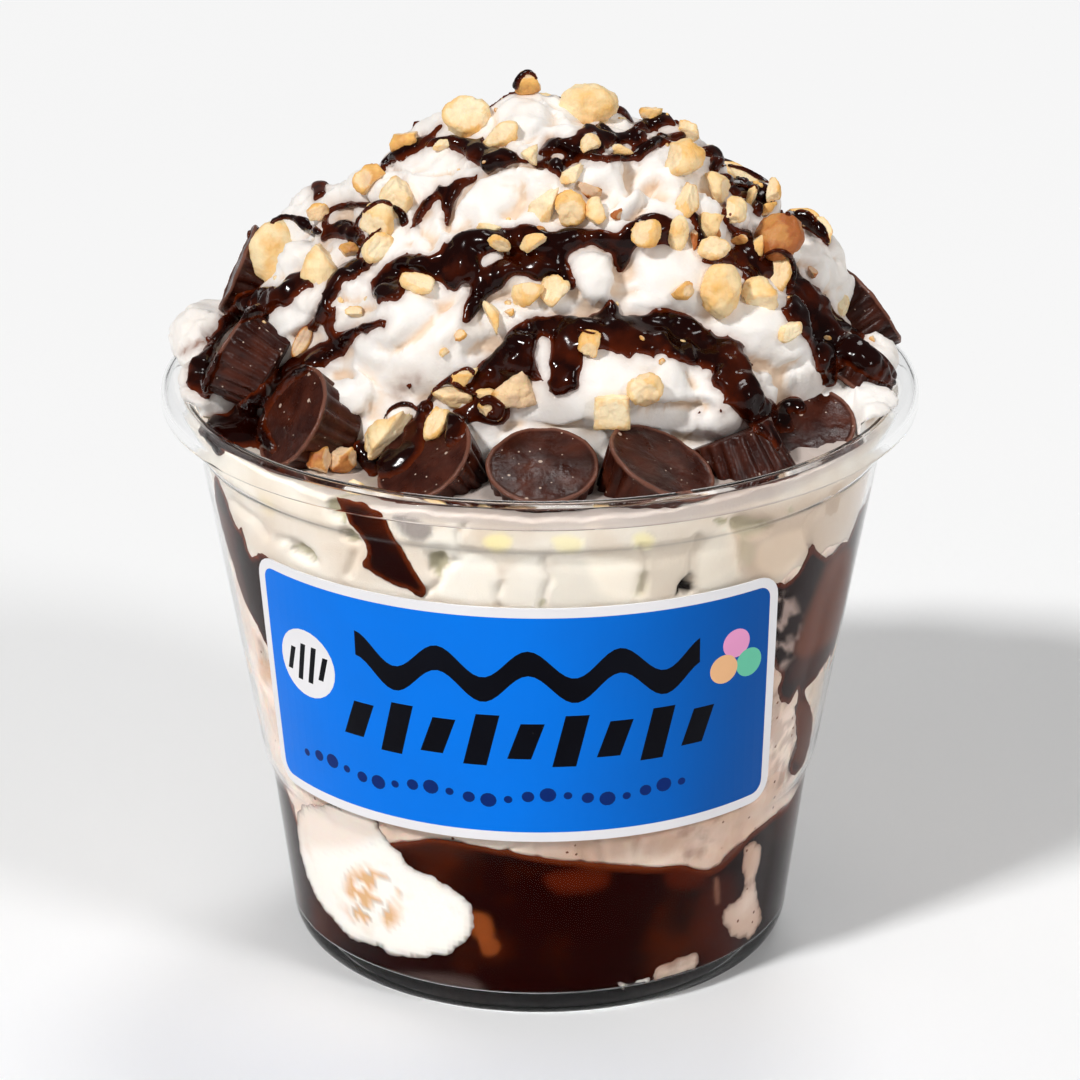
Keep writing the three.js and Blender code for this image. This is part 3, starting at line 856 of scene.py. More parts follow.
# Creases in the cream that is pressed on the wall at the front, and gaps between its folds
wallCreases = {
    "underRun": (0.7, [(424,592,3), (436,584,3), (444,572,3), (452,562,3)]),
    "besideGold": (0.5, [(462,526,3), (457,540,3), (461,551,3), (472,554,3)]),
    "lobe": (0.7, [(499,610,3), (496,596,3), (500,585,2)]),
    "lobeRight": (0.6, [(546,556,2), (543,568,3), (549,580,3), (544,592,3), (542,606,3)]),
    "dark": (0.7, [(690,572,2), (692,560,2), (696,548,3), (700,538,3)]),
    "rightFold": (0.6, [(738,524,3), (743,540,3), (741,560,3), (742,572,3)]),
    "middleFold": (0.5, [(646,568,3), (645,556,3), (640,548,3)]),
    "farFold": (0.6, [(812,546,3), (808,534,3), (812,520,3), (820,508,3)]),
    "leftFold": (0.5, [(228,500,3), (240,512,4), (252,520,4), (262,536,4)]),
    "leftFoldLow": (0.6, [(312,562,3), (302,552,4), (290,544,4), (276,540,4)]),
    "byRun": (0.6, [(357,545,3), (350,560,4), (345,574,4)]),
    "press": (0.2, [(430,561,5), (500,564,5), (560,566,5), (620,564,5), (680,556,5), (735,546,5)]),
    "gapUnderRim": (1.6, [(330,504,6), (336,514,7)]),
    "gapBesideRun": (1.4, [(342,534,5), (352,541,4)]),
    "gapLeft": (1.4, [(290,549,5), (303,557,5)]),
    "gapByRun": (1.6, [(436,558,8), (435,570,6)]),
    "gapMiddle": (1.2, [(645,578,4), (642,592,5)]),
    "gapRight": (1.5, [(742,526,8), (756,529,8), (768,526,6)]),
    "darkGap": (2.2, [(691,580,3), (687,590,6)]),
}
creaseField = reliefField(wallCreases)


# Folds of cream pressed on the wall. The front has its own creases, the rest a net of them.
def pressedFolds(depth, pocket, scale, seed, traced=False):
    def hollow(turn, height):
        front = (1 - smoothStep(-0.35, -0.1, np.sin(turn))) if traced else np.zeros(len(turn))
        drawn = fieldAt(creaseField, onRound(outsideRadius(height), turn, height)) * (np.sin(turn) < 0)
        out = []
        for spot, share, line in zip(onRound(insideRadius(height), turn, height), front, drawn):
            point = Vector(spot) / scale
            swell = 0.5 - 0.5 * noise.noise(point * 1.6 + Vector((seed, seed, 0)))
            point.z *= 0.55  # folds are taller than wide
            bend = noise.noise_vector(point * 1.1 + Vector((seed, 0, 0))) * 0.5
            near = noise.voronoi(point + bend + Vector((0, seed, 0)))[0]
            crease = 1 - float(smoothStep(0.0, 0.13, near[1] - near[0]))
            opened = float(smoothStep(0.3, 0.52, noise.noise(point * 1.3 + Vector((0, 0, seed)))))
            net = depth * crease * (0.5 + 0.5 * swell) + pocket * opened
            out.append(0.3 * depth * swell + (1 - share) * net + share * line)
        return np.array(out)
    return hollow


def smoothWall(_, height):
    return 0 * height


fudgeStations = sorted([*(wallSpot(*p) for p in layers["fudgeTop"]), *layers["fudgeTopBack"]])


def fudgeLevel(azimuths):
    return roundLine(fudgeStations, azimuths) + wavy(azimuths, 20, 0.25, 9, 1)


def creamLevel(azimuths):
    return roundLine(layers["creamFoot"], azimuths) + wavy(azimuths, 56, 1.6, 4, 4)


def creamBrim(azimuths):
    return roundLine(layers["creamTop"], azimuths) + wavy(azimuths, 75, 0.7, 6, 7)


fudgeMesh = layerMesh(lambda a: np.full(len(a), layers["floor"]), fudgeLevel, smoothWall)
fudgePoints = pointsOf(fudgeMesh)
belowTop = fudgeLevel(np.degrees(np.arctan2(fudgePoints[:, 1], fudgePoints[:, 0]))) - fudgePoints[:, 2]
setValues(fudgeMesh, "film", smoothStep(0.0, 2.2, belowTop))
setTinges(fudgeMesh, ["ember", "emberLow", "emberFar", "emberRight", "emberSide", "footShine", "footGlint"])
showPiece("fudgeLayer", fudgeMesh, "pressedFudge", "fudge_layer")

iceMesh = layerMesh(lambda a: fudgeLevel(a) - 0.05, creamLevel, pressedFolds(0.5, 0.3, 9, 11))
setValues(iceMesh, "stain", np.zeros(len(iceMesh.vertices)))
setTinges(iceMesh, ["bubblesRight", "mudRight", "edgeRight", "orangeLeft"], ["bubblesRight", "mudRight"])
showPiece("iceCreamLayer", iceMesh, "iceCream", "ice_cream_layer")

creamTinges = ("gap", "grey", "shade", "lobe", "gold", "slit", "dark", "tan", "band")
creamInCup = layerMesh(lambda a: creamLevel(a) - 0.05, creamBrim, pressedFolds(0.8, 1.6, 11, 5, True))
setValues(creamInCup, "stain", np.zeros(len(creamInCup.vertices)))
setTinges(creamInCup, [name for name in wallTinges if name.startswith(creamTinges)])
showPiece("creamInCup", creamInCup, "pressedCream", "whipped_cream")
print("layers made")


# Patches on the inside of the wall: sauce that ran down, scoops that show
patchStyle = {
    "cell": 0.8,
    "edge": 0.35,  # width of the stain along a scoop's edge
    "skin": 0.12,  # thickness at the edge
    "runDepth": 2.6,
    "runLift": 0.12,  # out of the layer it lies in, towards the wall
    "scoopLift": 0.08,
    "scoopRoughness": 0.5,
}


def patchMesh(outline, depth, lift, seed, roughness):
    outline = curved(outline, 8, closed=True)  # (azimuth, height)
    scale = np.radians(1) * insideRadius(float(outline[:, 1].mean()))
    flat = outline * (scale, 1)
    along = np.roll(flat, -1, 0) - np.roll(flat, 1, 0)
    normal = np.column_stack([along[:, 1], -along[:, 0]])
    normal /= np.linalg.norm(normal, axis=1)[:, None]
    ripple = [noise.fractal((x * 0.45, y * 0.45, seed), 0.7, 2.1, 5) for x, y in flat]
    flat += normal * (roughness * np.array(ripple))[:, None]
    columns, rows = (np.arange(low, high, patchStyle["cell"]) for low, high in zip(flat.min(0), flat.max(0)))
    everything = [Vector(p) for p in [*flat, *((x, y) for x in columns for y in rows)]]
    count = len(flat)
    edges = [(i, (i + 1) % count) for i in range(count)]
    points, _, faces, *_ = geometry.delaunay_2d_cdt(everything, edges, [list(range(count))], 1, 1e-4)
    points = np.array([tuple(p) for p in points])
    away = np.linalg.norm(points[:, None] - flat, axis=2).min(1)
    turn, height = np.radians(points[:, 0] / scale), points[:, 1]
    wall = insideRadius(height) + lift
    back = wall - patchStyle["skin"] - depth * (1 - np.exp(-away / (0.6 * depth)))
    skin = closedSkin([tuple(face) for face in faces], len(points))
    mesh = meshOf(np.concatenate([onRound(wall, turn, height), onRound(back, turn, height)]), skin)
    setValues(mesh, "film", np.tile(smoothStep(0.0, 1.6, away), 2))
    setValues(mesh, "stain", np.tile(0.7 * np.exp(-away / patchStyle["edge"]), 2))
    names = ["specksLeft", "scoopTop", "runGlow", "runGlowLow", "bubbles", "leftGlow"]
    setTinges(mesh, names, ["specksLeft", "bubbles"])
    return mesh


# Sauce on the wall. The front ones are outlines along sight lines, those at the back azimuth and height.
sauceRuns = {
    "left": ("fudge_ribbon_left", [(214,474), (218,484), (224,500), (232,522), (237,530), (240,527), (243,541),
        (250,557), (257,553), (264,556), (276,572), (286,610), (288,640), (280,652), (270,650), (262,638), (252,618),
        (243,600), (236,578), (231,560), (226,545), (219,518), (214,494)]),
    "front": ("fudge_ribbon_front", [(335,497), (350,500), (366,506), (380,514), (388,530), (398,545), (408,560),
        (415,575), (422,586), (424,592), (418,597), (404,590), (386,581), (372,574), (361,567), (366,555), (363,543),
        (355,532), (346,522), (342,510)]),
    "right": ("fudge_ribbon_right", [(871,494), (866,502), (861,512), (856,525), (850,539), (844,543), (836,553),
        (827,557), (820,552), (814,543), (808,559), (798,576), (790,582), (778,584), (768,590), (766,640), (776,668),
        (784,676), (780,690), (783,702), (790,704), (796,696), (799,690), (800,700), (797,720), (799,745), (792,768),
        (797,774), (806,760), (813,730), (812,708), (806,692), (815,681), (824,667), (831,654), (836,642)]),
}
backRuns = {
    "backRight": ("fudge_ribbon_back_right", [(43,73), (49,71), (56,72), (63,66), (68,58), (66,50), (61,44), (57,41),
        (55,45), (56,52), (52,58), (48,64)]),
    "backLeft": ("fudge_ribbon_back_left", [(112,72), (119,71), (124,66), (120,60), (118,54), (123,46), (124,40),
        (119,38), (114,45), (108,52), (104,58), (107,66)]),
}

scoops = {
    "scoopLeft": ("scoop", 4.0, [(296,824), (298,850), (305,873), (312,892), (321,906), (333,921), (344,934),
        (352,940), (362,944), (374,946), (386,954), (404,957), (432,957), (450,954), (458,946), (468,938), (474,922),
        (470,908), (460,896), (447,886), (436,880), (420,873), (406,864), (397,853), (388,843), (378,830), (366,815),
        (340,806), (316,804), (300,806)]),
    "scoopRight": ("iceCream", 1.6, [(748,846), (757,842), (763,850), (760,868), (757,884), (760,902), (763,918),
        (756,932), (746,941), (734,938), (726,928), (724,915), (730,906), (740,900), (746,886), (744,868)]),
    "bitLow": ("iceCream", 1.0, [(656,974), (668,964), (684,958), (697,954), (699,966), (688,978), (670,985),
        (658,983)]),
    "bitFoot": ("scoop", 0.8, [(617,983), (628,985), (640,982), (650,980), (643,990), (634,999), (628,998),
        (626,991)]),
}

for runs, roughness in ((sauceRuns, 0.35), (backRuns, 0.7)):
    for name, (node, outline) in runs.items():
        spots = [wallSpot(*p) for p in outline] if runs is sauceRuns else outline
        run = patchMesh(spots, patchStyle["runDepth"], patchStyle["runLift"], len(name), roughness)
        showPiece("sauceRun" + name[0].upper() + name[1:], run, "pressedFudge", node)
for name, (kind, depth, outline) in scoops.items():
    spots = [wallSpot(*p) for p in outline]
    scoop = patchMesh(spots, depth, patchStyle["scoopLift"], len(name), patchStyle["scoopRoughness"])
    showPiece(name, scoop, kind, "ice_cream_layer")
print("wall patches made")


# Chocolate cups, each where its solid is
cupStyle = {"mouth": 7.1, "base": 5.7, "height": 7.4, "ribs": 18, "ribDepth": 0.8, "columns": 144}


# Centre, axis towards the mouth and size of a chocolate cup, from the solid's two flat ends
def poseOf(node):
    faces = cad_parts[node].data.polygons
    normals = np.array([face.normal for face in faces])
    areas = np.array([face.area for face in faces])
    centres = np.array([face.center for face in faces]) / mm
    mouth = normals[np.argmax((normals @ normals.T > 0.9995) @ areas)]
    ends = []
    for side in (mouth, -mouth):
        flat = normals @ side > 0.9995
        ends.append((centres[flat] * areas[flat, None]).sum(0) / areas[flat].sum())
    size = np.linalg.norm(ends[0] - ends[1]) / cupStyle["height"]
    return Vector((ends[0] + ends[1]) / 2), Vector(mouth), size


def chocolateMesh(node, seed):
    centre, axis, size = poseOf(node)
    draw = random.Random(seed)
    mouth, base, tall = cupStyle["mouth"], cupStyle["base"], cupStyle["height"]
    side = [(base + (mouth - base) * t, tall * t) for t in np.linspace(0.06, 0.92, 9)]
    outline = [(r, 0.0) for r in (0.3 * base, 0.6 * base, 0.85 * base, base - 0.25)]
    outline += [(base - 0.04, 0.12), *side, (mouth - 0.02, tall - 0.4), (mouth, tall - 0.15),
                (mouth - 0.12, tall), (mouth - 0.4, tall - 0.02), (mouth - 0.62, tall - 0.16)]
    outline += [(mouth * s, tall - 0.2) for s in (0.86, 0.78, 0.68, 0.56, 0.42, 0.28, 0.14)]
    angles = roundTurns(cupStyle["columns"])
    phase, shift = draw.uniform(0, 6), Vector((seed * 7.3, 0, 0))
    wave = np.abs(np.sin(cupStyle["ribs"] / 2 * angles + phase)) ** 0.7
    rings, lips = [], []
    for radius, height in outline:
        fade = smoothStep(0.0, 0.1, height / tall) * (1 - smoothStep(0.8, 0.97, height / tall))
        onSide = radius > 0.93 * (base + (mouth - base) * height / tall) and height < tall - 0.1
        ring = onRound(radius - (cupStyle["ribDepth"] * (1 - wave) * fade if onSide else 0), angles, height)
        dent = fractalAt(ring, 0.28, 0.9, 2.1, 4, shift)
        ring[:, :2] *= (1 + 0.012 * dent)[:, None]
        ring[:, 2] += dent * (0.22 if height > tall - 0.5 else 0.08)
        rings.append(ring)
        lips.append(np.full(len(angles), float(radius > mouth - 0.5 and height > tall - 0.5)))
    mesh = ringSkin(rings, (0, 0, 0), (0, 0, tall - 0.2))
    turn = Vector((0, 0, 1)).rotation_difference(axis)
    placed = np.array([turn @ Vector(p) * size + centre for p in pointsOf(mesh) - (0, 0, tall / 2)])
    keepWithin(placed, cup["rim"] - 0.2)
    setPoints(mesh, placed)
    setValues(mesh, "lipHighlight", np.concatenate([[0], *lips, [0]]))
    return mesh


chocolateNodes = sorted(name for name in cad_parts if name.startswith("chocolate_cup"))
chocolateMeshes = []
for node in chocolateNodes:
    mesh = chocolateMesh(node, int(node[-2:]))
    showPiece("chocolateCup" + node[-2:], mesh, "chocolate", node)
    chocolateMeshes.append(mesh)
print("chocolate cups made")


heap = {
    "foot": 74,
    "rise": 37,
    "halfWidth": 45.5,
    "front": 35,
    "back": 41,
    "middleY": 3,
    "fullness": 2.6,
    "fall": 1.1,  # how much less full it is at the back
    "fallHeading": 105,
    "floor": 70,
    "columns": 72,
    "rows": 22,
    "voxel": 0.55,
    "triangles": 190000,
    "smallOnes": 150,
    "smallSizes": (1.8, 3.6),
    "folds": 0.95,
    "crease": 0.5,
    "crest": 0.45,
    "crumple": 0.22,
    "clear": 4.5,  # how far in front of a chocolate cup's mouth the cream gives way, mm
}
calmDollops = ["egg", "knob", "shoulderRight", "frontLobe", "bigFront", "bandRight"]  # with few folds

# Dollops at the front: middle, then half sizes, mm
dollops = {
    "peak": (-1, 1.5, 107.5, 8, 7, 6),
    "peakLeft": (-9.5, 3, 106, 6.5, 6, 5.2),
    "egg": (-4.8, -11.5, 101.5, 6.8, 6, 5.2),
    "crestLeft": (-14, -6, 101, 6, 5.5, 5),
    "shoulderFarLeft": (-27, 7, 94.5, 6.5, 6.5, 5.5),
    "crestRight": (12.6, -3, 103, 7.5, 6, 5.5),
    "knob": (6.5, -20.5, 95.5, 3.8, 3.6, 4.6),
    "shoulderRight": (15, -14.5, 94.5, 8.5, 7, 6),
    "shoulderLeft": (-15.5, -12, 96.5, 7, 6, 6),
    "bigFront": (-12.5, -19.5, 88, 10.5, 8, 9),
    "left": (-21.5, -14, 89.5, 6.5, 6, 6.5),
    "leftLow": (-29, -9, 87, 6, 6, 6.5),
    "frontLobe": (8, -23.5, 84.5, 12.5, 8, 6.5),
    "frontRight": (19.5, -21, 81.5, 9.5, 7.5, 6),
    "bandRight": (24, -13.5, 88, 9.5, 7.5, 5.5),
    "rightLow": (30, -12.5, 82, 7, 6, 5),
    "rightTop": (34, 4, 89.5, 5.5, 6, 6),
    "rimLeft": (-42.8, 4, 79.8, 5.2, 8, 5),
    "rimLeftFront": (-41.2, -9, 78.5, 5, 6, 4),
    "rimRight": (41.2, -14.5, 76.5, 4.5, 5, 3.5),
}


def heapPoint(share, angle):
    depth = heap["front"] if math.sin(angle) < 0 else heap["back"]
    return share * heap["halfWidth"] * math.cos(angle), heap["middleY"] + share * depth * math.sin(angle)


def heapHeight(x, y):
    depth = heap["front"] if y < heap["middleY"] else heap["back"]
    share = math.hypot(x / heap["halfWidth"], (y - heap["middleY"]) / depth)
    heading = math.atan2(y - heap["middleY"], x) - math.radians(heap["fallHeading"])
    fullness = heap["fullness"] - heap["fall"] * (1 + math.cos(heading)) / 2
    return heap["foot"] + heap["rise"] * (1 - share ** fullness)


def backDollops():
    draw = random.Random(7)
    rows = [(0.3, 30, 150, 2, 8), (0.55, 15, 165, 4, 8), (0.78, 22, 158, 5, 7.2)]
    out = []
    for share, start, end, count, size in rows:
        for place in range(count):
            angle = math.radians(start + (end - start) * (place + 0.2 + 0.6 * draw.random()) / count)
            x, y = heapPoint(share, angle)
            wide = size * (0.85 + 0.3 * draw.random())
            out.append((x, y, heapHeight(x, y) - 4.8, wide, wide * 0.9, 6.3))
    return out


def domeParts():
    angles = roundTurns(heap["columns"])
    rings = [[(*heapPoint(1, a), heap["floor"]) for a in angles]]
    for share in np.linspace(1, 0.06, heap["rows"]):
        rings.append([(*heapPoint(share, a), heapHeight(*heapPoint(share, a))) for a in angles])
    low, high = (0, heap["middleY"], heap["floor"]), (0, heap["middleY"], heap["foot"] + heap["rise"])
    return partsOf(ringSkin([np.array(ring) for ring in rings], low, high))


def ballParts(spots, rounds=3):
    ball, faces = icoBall(rounds)
    return [(ball * (rx, ry, rz) + (x, y, z), faces) for x, y, z, rx, ry, rz in spots]


# Small dollops all over, so that no large one stays smooth
def smallDollops():
    draw = random.Random(12)
    out = []
    for _ in range(heap["smallOnes"]):
        share, angle = math.sqrt(draw.random()) * 0.94, draw.uniform(-math.pi, math.pi)
        x, y = heapPoint(share, angle)
        size = draw.uniform(*heap["smallSizes"])
        out.append((x, y, heapHeight(x, y) - 0.3 * size, size * 1.3, size, size * 0.8))
    return out


# Broad folds, with sharp creases and torn crests along some of them
def foldLine(point):
    bent = point + noise.noise_vector(point * 0.07) * 5.0 + noise.noise_vector(point * 0.3) * 0.8
    broad = 1 - 2 * abs(noise.noise(bent * 0.13))
    narrow = 1 - 2 * abs(noise.noise(bent * 0.27 + Vector((9, 0, 0))))
    crease = math.exp(-(noise.noise(bent * 0.16 + Vector((0, 31, 0))) / 0.055) ** 2)
    crest = math.exp(-(noise.noise(bent * 0.14 + Vector((0, 0, 57))) / 0.05) ** 2)
    soft = 0.7 * broad + 0.3 * narrow - 0.35
    return heap["folds"] * soft - heap["crease"] * crease + heap["crest"] * crest


# 1 away from the calm dollops, down to 0.3 on them
def unrest(points):
    out = np.ones(len(points))
    for name in calmDollops:
        x, y, z, *sizes = dollops[name]
        away = np.linalg.norm((points - (x, y, z)) / sizes, axis=1)
        out = np.minimum(out, 0.3 + 0.7 * smoothStep(0.85, 1.35, away))
    return out


# Cream in front of a chocolate cup's mouth goes back behind the mouth's plane
def givenWay(points):
    for node in chocolateNodes:
        centre, axis, size = poseOf(node)
        axis = np.array(axis)
        if axis[2] < 0.2 and axis[1] > -0.3 and centre[1] < 8:  # its mouth lies in the cream
            continue
        half, mouth = cupStyle["height"] * size / 2, cupStyle["mouth"] * size
        away = points - np.array(centre)
        ahead = away @ axis - half
        aside = np.linalg.norm(away - np.outer(away @ axis, axis), axis=1)
        caught = (ahead > -0.7) & (ahead < heap["clear"]) & (aside < 1.25 * mouth)
        share = caught * (1 - smoothStep(0.96 * mouth, 1.2 * mouth, aside))
        share *= 1 - smoothStep(0.6 * heap["clear"], heap["clear"], ahead)
        points = points - np.outer((ahead + 0.7) * share, axis)
    return points


# Hollows and ridges of the cream, along sight lines
creamForms = {
    "peakStrip": (0.8, [(556,100,7), (553,118,7), (548,135,6)]),
    "topSlit": (1.0, [(628,168,6), (632,180,6), (627,192,5)]),
    "topHollow": (1.9, [(652,184,8), (648,198,9), (640,209,9), (628,213,6)]),
    "eggCurl": (1.2, [(522,188,7), (522,199,8), (515,209,8), (504,214,7)]),
    "eggLip": (0.6, [(520,183,4), (528,177,4), (540,178,4), (548,185,4)]),
    "eggOutline": (1.3, [(446,230,4), (450,213,4), (458,199,4), (470,186,4), (484,176,4), (500,168,4), (520,162,4),
        (542,165,4)]),
    "eggEdge": (-0.6, [(455,225,5), (460,208,5), (472,194,5), (488,183,5), (505,175,5), (522,171,5)]),
    "foldLeft": (1.1, [(424,226,6), (432,237,6), (427,248,5)]),
    "foldLeftSmall": (0.6, [(405,231,5), (410,245,5)]),
    "foldCrest": (-0.7, [(437,221,4), (444,234,4), (441,247,4)]),
    "underPool": (1.3, [(428,291,7), (441,298,9), (454,296,7)]),
    "valley": (1.5, [(448,298,9), (436,312,9), (424,326,9), (408,340,8), (394,350,6)]),
    "valleySide": (-0.8, [(462,304,9), (454,322,10), (440,340,9)]),
    "valleyFar": (-0.6, [(390,304,9), (402,318,9), (392,334,8)]),
    "leftPocket": (1.3, [(341,297,6), (350,300,6), (359,295,6)]),
    "leftPocketLow": (0.8, [(361,309,4), (372,306,4)]),
    "nutHollow": (0.9, [(296,336,6), (304,331,6)]),
    "leftLobe": (-0.5, [(300,300,7), (311,312,7), (305,323,6)]),
    "smallFold": (0.8, [(337,374,5), (346,372,5), (353,377,4)]),
    "pit": (0.8, [(369,402,4), (371,406,3)]),
    "downRun": (-0.7, [(352,338,7), (362,350,7), (359,366,7), (367,388,8), (362,408,7)]),
    "crossFold": (0.6, [(375,345,5), (386,356,6), (382,368,5)]),
    "besideKnob": (1.2, [(617,262,6), (622,276,7), (618,292,7)]),
    "besideKnobWide": (0.6, [(630,266,9), (637,286,9)]),
    "underKnob": (1.4, [(571,292,7), (581,304,8), (592,313,8), (602,307,6)]),
    "ledgeRight": (-0.7, [(636,301,6), (652,303,6), (668,299,5)]),
    "frontShade": (1.0, [(470,353,7), (485,346,8), (500,345,8), (511,350,6)]),
    "frontCut": (2.0, [(636,401,5), (652,407,6), (670,408,6), (686,407,6), (699,404,5), (708,409,4)]),
    "frontFold": (0.7, [(688,370,4), (694,384,5), (698,398,4)]),
    "frontFoldLow": (0.5, [(624,362,5), (640,372,5), (655,371,5)]),
    "frontLip": (-0.6, [(600,390,6), (640,393,5), (675,396,5), (700,394,5), (716,398,4)]),
    "frontStep": (-0.6, [(664,420,8), (694,423,8), (728,421,8)]),
    "frontLeft": (-0.5, [(516,412,10), (548,410,11), (580,411,10)]),
    "frontLeftFold": (0.6, [(506,426,5), (530,421,4), (552,424,5), (580,420,4)]),
    "rightFold": (1.1, [(752,362,5), (765,368,5), (779,373,5), (791,367,5), (800,360,4)]),
    "rightFoldLow": (1.0, [(757,389,5), (770,382,5), (783,380,5), (796,385,4)]),
    "rightCrest": (-0.7, [(762,376,5), (776,381,4), (790,375,4)]),
    "rightUnder": (0.5, [(724,330,5), (736,335,5), (749,339,4)]),
    "rimLobe": (-0.6, [(858,408,6), (864,420,6), (858,434,5)]),
    "rimFold": (0.9, [(848,412,4), (853,426,4), (852,440,4)]),
}


# Thin smears of sauce on the cream, as (strength, stroke)
smears = {
    "rimLump": (0.9, [(182,352,4), (191,347,5), (201,341,5), (212,334,5), (219,328,4)]),
    "besideNut": (0.55, [(396,397,7), (404,386,9), (416,379,7)]),
    "overArc": (0.7, [(556,338,3), (568,333,4), (580,335,3)]),
    "alongArc": (0.6, [(650,313,3), (672,314,4), (694,324,4), (716,336,4), (730,346,3)]),
    "topLeft": (0.5, [(385,160,3), (396,170,3), (404,182,3)]),
    "arcRight": (0.55, [(722,352,4), (736,366,4), (744,384,4), (750,402,4)]),
}


# Where the cream is seen, its own hollows and ridges; what is turned away keeps to the noise
def drawnForms(points, normals):
    seen = smoothStep(0.05, 0.35, -(normals @ viewAhead)) * (points[:, 1] < 14)
    return seen * fieldAt(reliefField(creamForms), points)


def creamHeap():
    spots = [*dollops.values(), *backDollops(), *smallDollops()]
    mesh = fused(joinedMesh([domeParts(), *ballParts(spots)]), heap["voxel"])
    relaxed(mesh, 3)
    points, normals = pointsOf(mesh), normalsOf(mesh)
    push = heap["crumple"] * fractalAt(points, 0.5, 0.9, 2.1, 4) + [foldLine(Vector(p)) for p in points]
    points += normals * (unrest(points) * push - drawnForms(points, normals))[:, None]
    before = points
    points = givenWay(points)
    moved = smoothStep(0.3, 1.5, np.linalg.norm(points - before, axis=1))
    inCup = points[:, 2] < cup["height"] + 0.4
    keepWithin(points, np.where(inCup, insideRadius(points[:, 2]) - 0.1, cup["rim"] - 0.3))
    setPoints(mesh, points)
    relaxed(mesh, 6, 0.5 * moved[:, None])
    relaxed(mesh, 1, 0.25)
    return thinned(mesh, heap["triangles"])


# How deep each point lies in a fold, 0 to 1, which sets the shade painted into the cream's folds
def hollows(mesh):
    smooth = mesh.copy()
    relaxed(smooth, 40)
    sink = ((pointsOf(smooth) - pointsOf(mesh)) * normalsOf(mesh)).sum(1)
    bpy.data.meshes.remove(smooth)
    return smoothStep(0.04, 0.65, sink)


heapMesh = creamHeap()
setValues(heapMesh, "hollow", hollows(heapMesh))
print("heap made", len(heapMesh.polygons))


